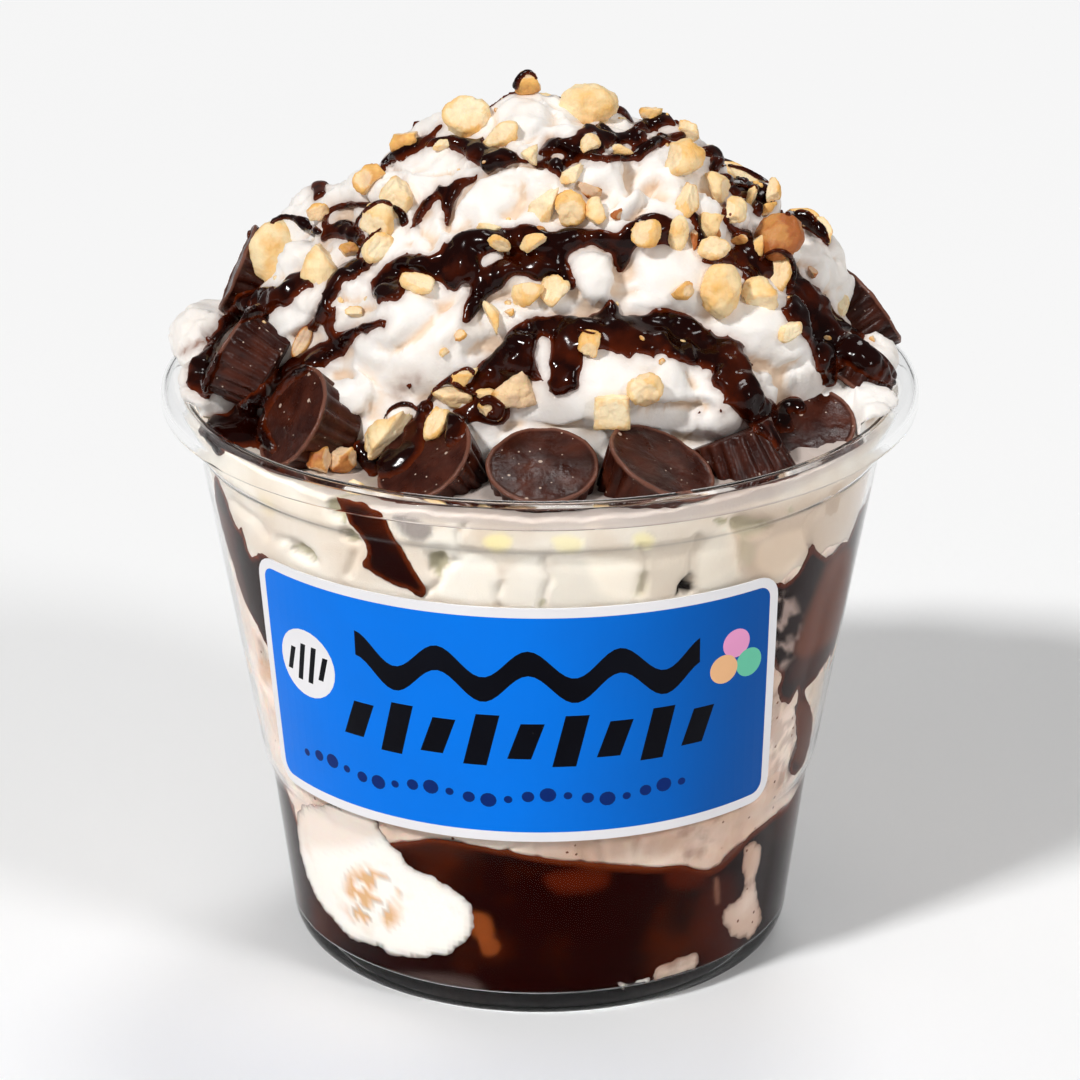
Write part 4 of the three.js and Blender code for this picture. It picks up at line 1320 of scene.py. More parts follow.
# Fudge over the heap, in strokes along sight lines: (px, py, half width), all in picture pixels
drizzle = {
    # top
    "tip": [(515,84,2), (521,87,5), (527,82,5), (533,77,3)],
    "tipLeft": [(478,97,1.5), (490,99,3), (497,95,3), (506,89,2.5), (515,84,2)],
    "topLeft": [(441,125,2), (430,136,3), (419,143,5), (407,150,6), (394,156,5), (385,163,4), (381,170,3)],
    "topWedge": [(428,142,3), (442,141,3), (455,144,6), (468,149,8), (480,155,10), (492,157,10), (503,157,8),
        (513,158,5)],
    "eggBrim": [(488,169,2), (500,163,2), (515,161,2), (530,161,2), (542,164,2.5), (553,169,3), (561,175,2.5)],
    "underNut": [(541,152,4), (550,146,6), (560,146,7), (572,150,7), (582,146,6), (588,140,6), (590,131,5),
        (600,129,4), (606,136,6), (614,141,5), (626,137,5), (640,128,5), (655,121,6), (665,119,5), (673,124,3)],
    "ridgeLow": [(553,169,5), (563,163,4), (572,158,4), (581,155,3), (592,157,3), (606,158,3.5), (619,158,3.5),
        (630,156,4), (638,154,6), (646,147,5), (656,141,5), (668,138,5), (680,135,4)],
    "eggLeft": [(413,226,2.5), (418,215,4), (425,205,4.5), (434,197,3)],
    "eggTail": [(439,187,3), (443,194,4), (445,205,3.5), (447,213,2)],
    "eggEdge": [(476,178,2), (463,181,5), (455,188,6), (450,198,5), (447,210,3), (446,222,2)],
    # left
    "backBlot": [(321,239,2), (332,231,6), (345,228,7), (356,234,7), (361,243,4)],
    "backLine": [(325,231,2), (326,216,2), (333,208,2.5), (346,205,3), (360,204,3), (372,205,3)],
    "leftMain": [(372,260,3), (362,264,7), (350,269,8), (340,276,6), (331,289,6), (325,304,6), (319,318,5),
        (310,329,3)],
    "leftLoop": [(335,306,2), (330,318,3), (329,330,4), (337,338,3)],
    "leftBand": [(310,273,4), (299,281,7), (288,290,8), (284,303,4)],
    "leftDark": [(286,290,5), (271,300,8), (256,308,9), (241,314,9), (229,322,7), (222,330,4)],
    "leftPool": [(222,331,3), (214,340,5), (210,350,5), (204,362,9), (200,374,11), (202,388,7), (207,397,3)],
    "longRun": [(385,321,2), (370,325,3), (355,330,3.5), (342,337,4.5), (325,346,5.5), (308,357,6.5), (290,370,8),
        (275,385,9), (262,398,11), (250,410,13), (240,420,15), (234,430,14)],
    "rimPool": [(211,428,5), (222,426,12), (236,430,17), (252,432,14), (264,440,8), (272,448,5)],
    "rimDrip": [(218,432,7), (219,443,6), (221,452,4)],
    # middle
    "poolTop": [(455,252,8), (460,243,9), (474,238,8), (490,234,5), (505,232,4), (520,231,5), (532,231,6),
        (545,237,6), (554,243,9), (565,241,12), (578,238,10), (590,237,7), (600,240,6)],
    "poolArm": [(378,294,6), (383,284,10), (392,271,9), (401,262,6), (413,262,8), (430,264,9), (444,262,11),
        (456,262,10), (468,266,9), (476,270,4)],
    "poolLip": [(425,262,5), (438,273,6), (448,281,5), (455,288,3)],
    "poolNeck": [(444,247,3), (446,256,6), (450,264,8)],
    "poolLow": [(466,318,5), (470,308,7), (475,298,7), (480,286,9), (490,276,10), (505,269,9), (520,265,9),
        (540,267,10), (555,266,10), (565,274,7), (571,286,4)],
    "poolBridge": [(557,246,10), (554,258,10), (548,266,8)],
    "middle": [(596,238,6), (607,242,8), (618,248,9), (621,258,8), (620,268,4)],
    "middleUp": [(616,242,8), (627,233,6), (636,224,4), (649,218,4), (661,220,5), (668,228,7), (668,239,5)],
    "middleRight": [(689,213,3), (697,222,5), (700,234,5), (698,244,3)],
    # front arc
    "arcStart": [(477,378,5), (486,369,9), (498,362,9), (508,351,9), (514,340,10), (522,331,9), (535,325,8),
        (550,325,9), (565,325,9), (578,328,8), (586,333,4)],
    "arcDrip": [(560,337,10), (563,350,13), (565,363,13), (566,376,10), (562,386,7), (556,391,4)],
    "arcInner": [(519,344,9), (524,357,7), (531,368,4)],
    "arcMain": [(583,325,4), (593,321,6), (605,322,10), (615,331,13), (630,332,16), (647,331,17), (664,329,19),
        (680,332,18), (695,340,15), (708,346,12), (722,351,9), (734,357,9), (742,367,8), (747,381,7), (753,393,7),
        (761,405,9), (771,412,10), (782,420,8), (790,428,4)],
    "arcBump": [(603,318,6), (607,308,5), (611,301,3)],
    "arcFall": [(716,372,4), (724,379,7), (732,388,10), (738,400,10), (745,410,8), (757,423,8), (770,433,6),
        (777,446,4)],
    "arcBlot": [(622,346,6), (629,354,4)],
    "arcBlotRight": [(671,350,7), (684,358,5), (693,363,3)],
    # right
    "rightTop": [(703,150,4), (712,153,6), (717,161,6), (713,170,4)],
    "rightUnder": [(724,178,4), (735,185,8), (748,188,9), (760,192,9), (767,202,7), (764,212,4)],
    "rightString": [(725,203,2), (723,213,2.5), (727,223,2.5), (733,231,3), (745,235,6), (742,246,7), (744,254,8),
        (753,263,9), (756,273,9), (752,282,7), (746,289,4)],
    "rightThin": [(702,261,2), (714,262,2.5), (726,260,4), (736,255,6)],
    "rightLink": [(753,263,8), (764,264,9), (770,274,5)],
    "rightRun": [(790,282,5), (797,290,9), (805,300,13), (816,312,14), (828,325,14), (840,338,13), (852,350,13),
        (865,362,12), (878,373,8), (889,381,5)],
    "rightInner": [(785,310,4), (795,318,7), (805,326,8), (812,338,6), (818,350,6), (826,362,6), (833,373,4)],
    "rightHigh": [(787,213,4), (798,217,8), (810,222,9), (819,231,6), (827,241,3)],
    # between the front nuts
    "frontNuts": [(468,389,4), (478,393,5), (486,404,9), (496,402,8), (504,412,5), (492,419,5)],
    "frontGap": [(467,414,4), (460,427,6), (452,440,5)],
    "frontLow": [(392,457,9), (383,464,10), (374,468,8), (365,458,6)],
    "frontBack": [(407,424,5), (411,436,6), (404,450,7), (394,460,7)],
    "cupPool": [(782,406,5), (792,403,7), (801,408,6)],
}
# Wide pools, as outlines along sight lines
pools = {
    "middleUpper": [(371,291), (373,283), (381,275), (390,268), (399,260), (404,256), (418,256), (432,256), (440,251),
        (443,240), (450,249), (453,239), (459,233), (470,231), (480,232), (492,231), (505,229), (520,228), (529,225),
        (538,230), (550,235), (558,230), (570,228), (584,229), (591,233), (590,241), (575,250), (555,255), (530,254),
        (515,250), (500,250), (488,253), (480,258), (481,268), (478,277), (470,279), (460,284), (450,286), (440,282),
        (428,278), (415,272), (407,266), (403,272), (402,282), (404,293), (396,300), (385,301), (376,298)],
    "middleLower": [(465,309), (471,303), (476,292), (473,284), (477,276), (487,268), (498,260), (508,256), (522,253),
        (540,250), (556,246), (566,243), (580,240), (590,241), (580,244), (573,249), (567,256), (564,263), (568,273),
        (574,286), (566,283), (560,276), (548,276), (538,282), (528,278), (516,275), (508,279), (503,287), (492,293),
        (485,300), (479,309), (471,319), (464,319), (462,313)],
    "middleRight": [(588,230), (603,229), (612,232), (620,232), (627,223), (640,221), (655,222), (670,219), (676,221),
        (670,230), (668,241), (658,244), (645,246), (637,245), (630,255), (619,269), (618,258), (611,249), (600,241)],
    "arcLeft": [(474,380), (475,370), (480,362), (490,357), (500,355), (508,350), (514,343), (513,336), (516,330),
        (523,325), (533,321), (545,319), (560,319), (573,319), (581,323), (592,318), (604,318), (608,330), (604,346),
        (592,350), (584,351), (582,365), (578,378), (577,389), (567,391), (558,393), (552,392), (548,384), (551,375),
        (549,362), (553,350), (552,341), (545,336), (538,338), (534,347), (534,360), (538,371), (543,379), (533,381),
        (525,378), (515,382), (505,388), (497,393), (486,392), (478,388)],
    "arcRight": [(598,320), (612,316), (622,317), (632,319), (645,315), (655,310), (665,308), (675,311), (685,314),
        (695,319), (701,327), (709,334), (722,337), (733,339), (741,343), (745,347), (738,351), (743,364), (750,378),
        (753,392), (757,403), (768,410), (782,417), (795,426), (786,432), (774,430), (764,430), (755,422), (747,416),
        (741,411), (733,406), (724,403), (726,398), (720,390), (711,384), (710,378), (718,371), (712,369), (703,367),
        (697,363), (688,361), (678,359), (673,352), (668,346), (660,350), (655,355), (645,354), (634,352), (631,359),
        (625,357), (620,352), (606,350), (600,342)],
    "arcBump": [(602,320), (603,306), (609,301), (616,304), (617,311), (613,319)],
    "topWedge": [(428,146), (434,140), (448,139), (465,140), (480,141), (486,146), (495,150), (508,153), (517,156),
        (512,161), (503,163), (497,168), (488,172), (480,166), (474,157), (464,151), (454,147), (440,146)],
    "topRight": [(540,147), (552,138), (566,139), (575,134), (582,127), (592,125), (600,130), (606,139), (620,139),
        (634,136), (645,127), (656,121), (668,121), (672,124), (655,128), (645,136), (640,143), (627,142), (612,143),
        (604,147), (600,154), (588,155), (575,152), (556,152), (545,154)],
    "eggTip": [(540,160), (549,159), (557,163), (565,165), (571,160), (577,157), (566,168), (560,178), (552,171)],
    "underNut": [(742,239), (752,243), (760,251), (768,256), (769,268), (764,277), (758,283), (752,289), (746,285),
        (742,275), (740,266), (732,262), (722,262), (710,262), (722,256), (733,250)],
    "rightRun": [(786,303), (785,290), (785,280), (788,270), (791,262), (797,268), (800,276), (808,282), (818,288),
        (824,296), (830,302), (833,312), (836,321), (847,325), (858,333), (869,343), (880,355), (889,368), (888,377),
        (878,378), (866,374), (854,368), (842,362), (834,360), (835,372), (836,384), (826,386), (820,376), (815,364),
        (811,352), (809,342), (806,333), (799,325), (790,318), (784,312)],
    "rightUpper": [(724,182), (735,182), (748,184), (760,187), (768,190), (769,199), (764,204), (763,213), (757,216),
        (752,208), (746,196), (736,198), (730,190)],
    "leftDark": [(232,303), (240,292), (256,288), (268,286), (277,287), (275,297), (273,310), (262,317), (248,317),
        (238,321), (230,327), (224,335), (218,330), (219,319), (226,311)],
    "leftBand": [(283,303), (284,292), (286,283), (295,279), (303,273), (307,271), (312,285), (303,291), (295,298),
        (288,305)],
    "leftMain": [(309,330), (316,318), (320,305), (322,292), (328,281), (336,270), (344,265), (352,261), (362,259),
        (375,256), (379,260), (370,263), (362,270), (356,278), (347,279), (339,283), (333,291), (330,305), (323,320),
        (315,331)],
    "leftPool": [(221,350), (213,354), (205,357), (196,357), (189,362), (186,375), (189,388), (198,391), (205,398),
        (209,386), (214,375), (218,364)],
    "longRun": [(386,321), (378,322), (365,325), (350,329), (340,334), (327,342), (312,348), (300,357), (288,366),
        (275,378), (266,388), (258,397), (247,406), (235,412), (222,417), (211,421), (209,431), (212,441), (218,450),
        (226,452), (231,446), (245,441), (256,443), (268,450), (272,444), (266,434), (264,422), (270,407), (280,394),
        (293,382), (305,373), (318,366), (331,361), (344,352), (353,341), (360,333), (372,329)],
    "backBlot": [(320,239), (330,233), (336,227), (345,222), (355,222), (358,228), (356,236), (361,243), (350,241),
        (338,239), (330,238)],
    "frontPool": [(352,446), (362,440), (372,447), (384,455), (398,452), (408,440), (413,424), (418,405), (425,398),
        (432,402), (424,418), (425,432), (424,446), (414,460), (400,472), (386,476), (370,472), (358,462)],
    "besideNuts": [(448,414), (458,408), (470,402), (480,396), (492,392), (503,396), (509,406), (508,418), (498,425),
        (486,424), (474,419), (464,430), (456,444), (446,446), (446,430)],
}
# Strokes that lie over the nuts as well
overNuts = {
    "backArc": [(272,224,3), (276,220,4), (285,217,4), (296,219,5), (305,224,7), (314,230,6), (322,233,3)],
    "nutBrim": [(354,229,2.5), (361,216,2.5), (370,207,2.5), (382,202,3), (393,207,3), (402,214,5), (405,226,6)],
    "halfBrim": [(357,258,2), (362,247,2), (371,236,2), (382,228,1.5)],
    "tipCoat": [(515,88,4), (519,80,5), (524,74,4), (531,73,3), (537,80,2)],
    "rightOver": [(722,165,2), (733,166,2.5), (746,170,3), (758,177,3), (767,183,3)],
    "overHalf": [(731,183,3), (745,185,5), (757,189,5)],
    "rightHigh": [(786,215,4), (795,214,7), (805,217,9), (814,224,8), (822,232,6), (829,243,3)],
    "curl": [(759,261,2), (768,253,2.5), (779,250,3), (788,255,4), (793,265,4), (793,277,5), (789,288,5)],
    "overShard": [(732,236,3), (741,233,5), (751,236,4)],
    "nutTopLine": [(384,419,1.5), (391,409,2.5), (402,404,3), (412,405,3), (418,411,2)],
    "frontTop": [(428,402,3), (435,390,3), (447,379,3), (458,372,3), (468,368,3), (474,374,3)],
    "frontCross": [(447,381,3), (457,385,4), (468,391,4), (478,394,3)],
    "coated": [(480,403,5), (490,400,7), (499,407,7), (497,417,6), (487,414,6)],
    "wedgeNotch": [(577,329,2), (586,332,2), (596,334,2)],
}
# Drops: (px, py, half width)
drops = [(720,411,2.5), (638,158,4), (246,300,3), (607,306,5), (409,385,3), (700,412,1.5), (530,395,2)]


def landing(tree, px, py):  # where a sight line meets, or passes nearest to, what carries a piece
    eye, way = sightLine(px, py)
    spot, normal, _, _ = tree.ray_cast(eye, way)
    if spot is not None and math.hypot(spot.x, spot.y) < cup["rim"]:
        return spot, normal
    near = (tree.find_nearest(eye + way * along) for along in range(590, 710, 2))
    return min(near, key=lambda found: found[3])[:2]


def fromAbove(tree, x, y):
    return tree.ray_cast(Vector((x, y, 140)), Vector((0, 0, -1)))[:2]


# How far each picture pixel is outside the strokes and pools
def sauceField():
    field = emptyField(9)
    dotsInto(field, [dot for line in drizzle.values() for dot in curved(line, 8)] + drops)
    for outline in pools.values():
        outlineInto(field, curved(outline, 3, closed=True))
    return field


sauce = {
    "step": 1.2,  # picture pixels between points
    "margin": 2.0,  # picture pixels that the skin reaches past its strokes, under what carries it
    "film": 0.42,  # depth just inside a stroke's edge, mm
    "full": 0.85,  # what the middle of a wide stroke has on top of that
    "swell": 5.0,  # picture pixels in which it gets there
    "under": 1.0,  # mm below the surface
    "jump": 2.2,  # mm between two points where the skin ends
    "voxel": 0.36,
    "triangles": 185000,
}


# A skin of sauce over what carries it, as deep as its stroke is wide
def sauceSkin(tree):
    field = sauceField()
    columns = np.arange(150, 930, sauce["step"])
    rows = np.arange(60, 500, sauce["step"])
    spots, index = [], {}
    for j, py in enumerate(rows):
        for i, px in enumerate(columns):
            edge = field[int(py), int(px)]
            if edge > 6:
                continue
            edge += 1.5 * noise.noise((px / 13, py / 13, 3)) + 1.1 * noise.noise((px / 4.5, py / 4.5, 8))
            blot = noise.noise((px / 3.4, py / 3.4, 21))
            if edge > 0.5 and blot > 0.34:  # small blots beside it
                edge = min(edge, 9 * (0.4 - blot))
            if edge > sauce["margin"]:
                continue
            spot, normal, _, _ = tree.ray_cast(*sightLine(px, py))
            if spot is not None:
                index[(i, j)] = len(spots)
                spots.append((*spot, *normal, -edge))
    spots = np.array(spots)
    places, normals, inward = spots[:, :3], spots[:, 3:6], spots[:, 6]
    pairs = []
    for (i, j), here in index.items():
        for step in ((1, 0), (0, 1)):
            there = index.get((i + step[0], j + step[1]))
            if there is not None and np.linalg.norm(places[here] - places[there]) < sauce["jump"]:
                pairs.append((here, there))
    for _ in range(6):
        normals = normals + neighbourMean(normals, *np.array(pairs).T)
        normals /= np.linalg.norm(normals, axis=1)[:, None]
    relief = 0.75 + 1.2 * noiseAt(places, 0.26) + 0.7 * noiseAt(places, 0.7)
    deep = sauce["full"] * np.maximum(relief, 0.05) * (1 - np.exp(-np.maximum(inward, 0) / sauce["swell"]))
    thin = sauce["film"] * (1 - np.exp(-np.maximum(inward, 0) / 0.8))
    depth = deep + thin + 0.05 + 0.35 * np.minimum(inward, 0)
    faces = []
    for (i, j), here in index.items():
        ring = [here, *(index.get(k) for k in ((i + 1, j), (i + 1, j + 1), (i, j + 1)))]
        if None in ring:
            continue
        corners = places[ring]
        if max(np.linalg.norm(corners[k] - corners[k - 1]) for k in range(4)) < sauce["jump"]:
            faces.append(tuple(reversed(ring)))
    outside, inside = places + normals * depth[:, None], places - normals * sauce["under"]
    return np.concatenate([outside, inside]), closedSkin(faces, len(spots))


# A strand through points on the surface, flat below and round above
def strandParts(met, seed):  # met: (spot, normal, half width)
    spots, facing, halves = (np.array(part) for part in zip(*met))
    for _ in range(3):
        spots[1:-1] = 0.5 * spots[1:-1] + 0.25 * (spots[:-2] + spots[2:])
        facing[1:-1] = 0.5 * facing[1:-1] + 0.25 * (facing[:-2] + facing[2:])
    around = roundTurns(16)
    rings = []
    for spot, normal, way, half in zip(spots, facing, np.gradient(spots, axis=0), halves):
        normal = normal / max(np.linalg.norm(normal), 1e-6)
        way = way / max(np.linalg.norm(way), 1e-6)
        across = np.cross(way, normal)
        across /= max(np.linalg.norm(across), 1e-6)
        wide = max(0.2, half * (1 + 0.3 * noise.noise(Vector(spot) * 0.4 + Vector((seed, 0, 0)))))
        tall = 0.3 + 0.3 * wide
        middle = spot + normal * 0.15 * tall
        rings.append(middle + np.outer(np.cos(around) * wide, across) + np.outer(np.sin(around) * tall, normal))
    return partsOf(ringSkin(rings, spots[0], spots[-1]))


def frontStrand(line, seed, tree, share=0.7):  # the skin lies over thinner ones, which close it where it jumps
    met = []
    for px, py, half in curved(line, 8):
        spot, normal = landing(tree, px, py)
        met.append((spot, normal, share * half * pixelSize(spot)))
    return strandParts(met, seed)


# Strands at the back: (share of the way out, angle in degrees, half width in mm)
backStrands = [
    [(0.35,170,0.8), (0.4,140,1.2), (0.42,115,1.4), (0.36,90,1.2), (0.4,65,1.0), (0.44,40,1.3), (0.4,15,0.8)],
    [(0.62,178,1.0), (0.66,155,1.5), (0.62,132,1.8), (0.68,110,1.5), (0.63,90,1.1), (0.66,70,1.6), (0.61,48,1.9),
        (0.66,28,1.4), (0.64,8,0.9)],
    [(0.86,165,0.9), (0.82,145,1.4), (0.86,125,1.7), (0.8,105,1.5), (0.84,82,1.2), (0.8,60,1.7), (0.86,40,1.4),
        (0.82,20,0.9)],
    [(0.2,150,0.8), (0.35,128,1.1), (0.5,122,1.5), (0.66,124,1.9), (0.78,120,1.6), (0.9,118,1.1)],
    [(0.12,80,0.8), (0.3,72,1.1), (0.48,66,1.6), (0.62,56,2.0), (0.78,50,1.7), (0.93,46,1.1)],
    [(0.55,95,0.9), (0.68,92,1.5), (0.8,95,1.7), (0.9,97,1.2)],
    [(0.2,20,0.7), (0.32,38,1.0), (0.3,62,1.2), (0.2,85,1.0), (0.24,120,0.8)],
]


def backStrand(line, seed, tree):
    met = [(*fromAbove(tree, *heapPoint(share, math.radians(angle))), half) for share, angle, half in curved(line, 10)]
    return strandParts([part for part in met if part[0] is not None], seed)


carried = treeOf([heapMesh, creamInCup, *chocolateMeshes])
strands = [sauceSkin(carried)]
strands += [frontStrand(line, seed, carried) for seed, line in enumerate(drizzle.values())]
strands += [backStrand(line, seed, carried) for seed, line in enumerate(backStrands)]
drizzleMesh = fused(joinedMesh(strands), sauce["voxel"])
relaxed(drizzleMesh, 2)
drizzleMesh = thinned(drizzleMesh, sauce["triangles"])
print("drizzle made", len(drizzleMesh.polygons))


def depthOn(mesh, tree, full):  # 0 where a film is thin, 1 where it is full deep
    return [min(1.0, tree.find_nearest(Vector(p))[3] / full) for p in pointsOf(mesh)]


setValues(drizzleMesh, "film", depthOn(drizzleMesh, carried, 1.3))
showPiece("fudgeDrizzle", drizzleMesh, "fudge", "whipped_cream")

sauceTree, heapPoints = treeOf([drizzleMesh]), pointsOf(heapMesh)
stains = [0.4 * math.exp(-max(0.0, sauceTree.find_nearest(Vector(p))[3] - 0.1) / 0.4) for p in heapPoints]
smeared = fieldAt(reliefField(smears), heapPoints) * (heapPoints[:, 1] < 14)
smeared *= 0.5 + 0.5 * smoothStep(-0.2, 0.3, noiseAt(heapPoints, 1.1))
setValues(heapMesh, "stain", np.maximum(stains, np.clip(smeared, 0, 0.85)))
showPiece("creamHeap", heapMesh, "cream", "whipped_cream")
print("heap stained")


# Nuts: sight line, length and width in picture pixels, turn in degrees, tone, and the kind where it is no chunk
frontNuts = [
    (527,83,36,28,85,0.5), (589,105,57,44,-8,0.12,"whole"), (467,116,48,42,10,0.1,"half"),
    (502,135,42,24,10,0.2,"half"), (408,140,38,26,25,0.5), (442,145,24,12,0,0.1), (531,155,26,20,60,0.1,"shard"),
    (590,144,22,20,80,0.25), (617,149,32,13,5,0.1), (370,180,34,26,30,0.45), (395,198,44,34,70,0.15),
    (317,214,26,20,20,0.45), (377,223,44,36,65,0.12), (378,247,36,28,45,0.15,"half"), (277,252,64,54,80,0.12,"whole"),
    (321,265,56,42,100,0.15,"shard"), (349,250,24,17,-10,0.5), (546,203,52,26,52,0.02,"shard"),
    (574,173,36,18,58,0.1,"shard"), (587,189,30,16,-20,0.85), (570,208,36,34,60,0.3), (597,215,36,26,85,0.12),
    (617,214,14,11,60,0.95), (490,227,26,13,5,0.02), (419,283,38,22,-20,0.2,"half"), (500,244,26,14,-35,0.2,"half"),
    (534,243,28,18,15,0.25), (527,291,36,30,70,0.22), (557,291,36,32,80,0.25), (492,318,36,17,-60,0.1),
    (459,335,15,12,0,0.5), (509,312,11,9,0,0.5), (357,312,24,12,-10,0.15), (649,114,26,20,70,0.4),
    (687,131,26,18,-20,0.15), (683,159,46,38,65,0.2), (687,200,44,24,82,0.18), (717,188,34,26,-30,0.15),
    (744,175,50,15,-28,0.2,"half"), (734,211,32,26,60,0.12), (713,222,34,24,80,0.25), (751,200,28,12,75,0.3),
    (772,192,30,18,80,0.25), (769,208,20,14,0,0.5), (646,233,32,29,30,0.35), (678,234,36,20,88,0.12,"whole"),
    (693,238,26,10,85,0.9), (714,248,38,23,12,0.12,"half"), (757,244,24,18,60,0.2,"shard"),
    (779,237,52,46,50,0.8,"whole"), (779,272,40,24,80,0.3,"half"), (721,290,54,42,80,0.2,"whole"),
    (683,290,24,20,10,0.6), (765,297,48,34,-35,0.12,"shard"), (801,207,36,14,-20,0.4), (826,230,32,14,-60,0.25),
    (811,272,14,12,0,0.95), (842,309,30,14,85,0.05), (790,333,30,22,50,0.08), (741,238,24,12,10,0.7),
    (389,431,66,36,42,0.1,"shard"), (322,461,30,28,60,0.75), (342,458,32,30,100,0.68), (357,484,18,12,0,0.05),
    (453,395,42,26,-20,0.3), (437,423,40,24,65,0.15,"half"), (464,376,32,18,35,0.35), (486,394,22,12,0,0.2),
    (489,411,28,22,-20,0.5), (519,387,50,44,70,0.58,"shard"), (592,342,28,26,70,0.3), (612,412,36,34,0,0.1,"block"),
    (645,389,36,34,60,0.25), (302,342,36,16,58,0.7,"half"), (445,352,12,9,30,0.25),
]

# Each kind's axes, then its flat cuts: how many, and how far out, as shares of the nut's size
nutKinds = {
    "whole": ((1, 0.86, 0.8), 2, 0.9, 0.98),
    "half": ((1, 0.9, 0.72), 3, 0.7, 0.9),
    "chunk": ((1, 0.94, 0.86), 5, 0.36, 0.74),
    "shard": ((1, 0.94, 0.86), 5, 0.36, 0.8),
    "block": ((1, 0.94, 0.86), 0, 1, 1),
}
nutStyle = {
    "edge": 70,  # the higher, the sharper
    "lumps": 0.15,
    "grit": 0.035,
    "longer": 1.12,
    "wider": 1.14,
    "backCount": 95,
    "backSizes": (3.6, 7.2),  # mm
    "crumbs": 64,
    "crumbSizes": (0.6, 1.5),
}


def nutShape(kind, draw, rounds):
    ball, faces = icoBall(rounds)
    axes, count, near, far = nutKinds[kind]
    reach = 1 / np.linalg.norm(ball / axes, axis=1)
    sides = [([draw.gauss(0, 1) for _ in range(3)], draw.uniform(near, far)) for _ in range(count)]
    if kind == "half":
        sides.append(((draw.gauss(0, 0.15), draw.gauss(0, 0.15), 1), draw.uniform(0.3, 0.42)))
    if kind == "shard":  # a wedge with one sharp end
        sides += [((0.55, 0.85, 0.1), 0.42), ((0.55, -0.85, 0.1), 0.42)]
    if kind == "block":
        sides = [(side, 0.62) for side in ((1, 0, 0), (-1, 0, 0), (0, 1, 0), (0, -1, 0), (0, 0, 1))]
    flats = [out / np.maximum(ball @ np.array(Vector(side).normalized()), 1e-3) for side, out in sides]
    radius = np.sum([r ** -nutStyle["edge"] for r in [reach, *flats]], 0) ** (-1 / nutStyle["edge"])
    cut = smoothStep(1.01, 1.07, reach / np.min([*flats, reach * 2], 0)) * (kind != "whole")
    seed = Vector((draw.uniform(0, 99), 0, 0))
    lumps = fractalAt(ball, 1.5, 0.8, 2.2, 4, seed)
    grit = np.array([noise.noise(Vector(p) * 7 + seed) for p in ball])
    radius *= 1 + nutStyle["lumps"] * lumps + nutStyle["grit"] * grit * cut
    shape = ball * radius[:, None]
    if kind == "half":  # the groove along a nut's flat face
        groove = np.exp(-(shape[:, 1] / 0.12) ** 2) * (shape[:, 2] > 0) * (np.abs(shape[:, 0]) < 0.7)
        shape[:, 2] -= 0.06 * groove
    return shape, faces, cut


nutParts, nutTones, nutCuts = [], [], []
carriedNow = treeOf([heapMesh, creamInCup, drizzleMesh, *chocolateMeshes])


def placeNut(spot, normal, long, wide, turn, tone, kind, seed, lift=0.2, rounds=4, way=None):
    draw = random.Random(seed)
    shape, faces, cut = nutShape(kind, draw, rounds)
    deep = min(wide * draw.uniform(0.8, 1.0), 0.75 * long)
    size = np.array([long, wide, deep]) / 2 / np.abs(shape).max(0)
    lie = Vector((math.cos(math.radians(turn)), 0, 0)) + Vector(viewUp) * math.sin(math.radians(turn))
    away = -Vector(viewAhead)
    facing = (normal * 0.6 + away * 0.4 if normal.dot(away) > 0 else normal).normalized()
    lie = (lie - facing * lie.dot(facing)).normalized()
    axes = np.array([lie, facing.cross(lie), facing])
    if way is None:
        centre = np.array(spot + normal * (deep * lift))
    else:  # back along the sight line, so that it stays on it
        centre = np.array(spot - way * (deep * lift / max(0.35, -way.dot(normal))))
    placed = (shape * size) @ axes + centre
    nutParts.append((placed, faces))
    nutTones.append(np.full(len(placed), tone))
    nutCuts.append(cut)


for seed, (px, py, long, wide, turn, tone, *kinds) in enumerate(frontNuts):
    spot, normal = landing(carriedNow, px, py)
    scale = pixelSize(spot)
    eye, way = sightLine(px, py)
    aside = (spot - eye) - way * (spot - eye).dot(way)  # one on the outline stands up from it
    spot -= aside * min(1.0, 0.28 * wide * scale / max(aside.length, 1e-6))
    kind = kinds[0] if kinds else "chunk"
    long, wide = long * scale * nutStyle["longer"], wide * scale * nutStyle["wider"]
    placeNut(spot, normal, long, wide, turn, tone, kind, 100 + seed, way=way)


# The back, which the sight lines don't reach, has nuts by a rule
def backSpots():
    draw = random.Random(31)
    golden = math.pi * (3 - math.sqrt(5))
    for place in range(nutStyle["backCount"]):
        share = 0.92 * math.sqrt((place + 0.5) / nutStyle["backCount"])
        angle = place * golden + draw.uniform(-0.3, 0.3)
        x, y = heapPoint(share, angle)
        if y < 10 + 0.15 * abs(x):
            continue
        spot, normal = fromAbove(carriedNow, x, y)
        if spot is not None:
            yield spot, normal, draw.uniform(*nutStyle["backSizes"]), draw


for place, (spot, normal, size, draw) in enumerate(backSpots()):
    kind = draw.choice(["half", "chunk", "chunk", "shard", "whole"])
    tone = draw.choice([0.1, 0.15, 0.3, 0.5])
    wide, turn = size * draw.uniform(0.6, 0.85), draw.uniform(0, 180)
    placeNut(spot, normal, size, wide, turn, tone, kind, 300 + place, rounds=3)

# Crumbs
crumbDraw = random.Random(77)
for place in range(nutStyle["crumbs"]):
    x, y = heapPoint(math.sqrt(crumbDraw.random()) * 0.95, crumbDraw.uniform(-math.pi, math.pi))
    spot, normal = fromAbove(carriedNow, x, y)
    if spot is not None:
        size = crumbDraw.uniform(*nutStyle["crumbSizes"])
        placeNut(spot, normal, size, size * 0.8, crumbDraw.uniform(0, 180), crumbDraw.choice([0.2, 0.35, 0.6]),
                 "chunk", 600 + place, -0.1, 2)

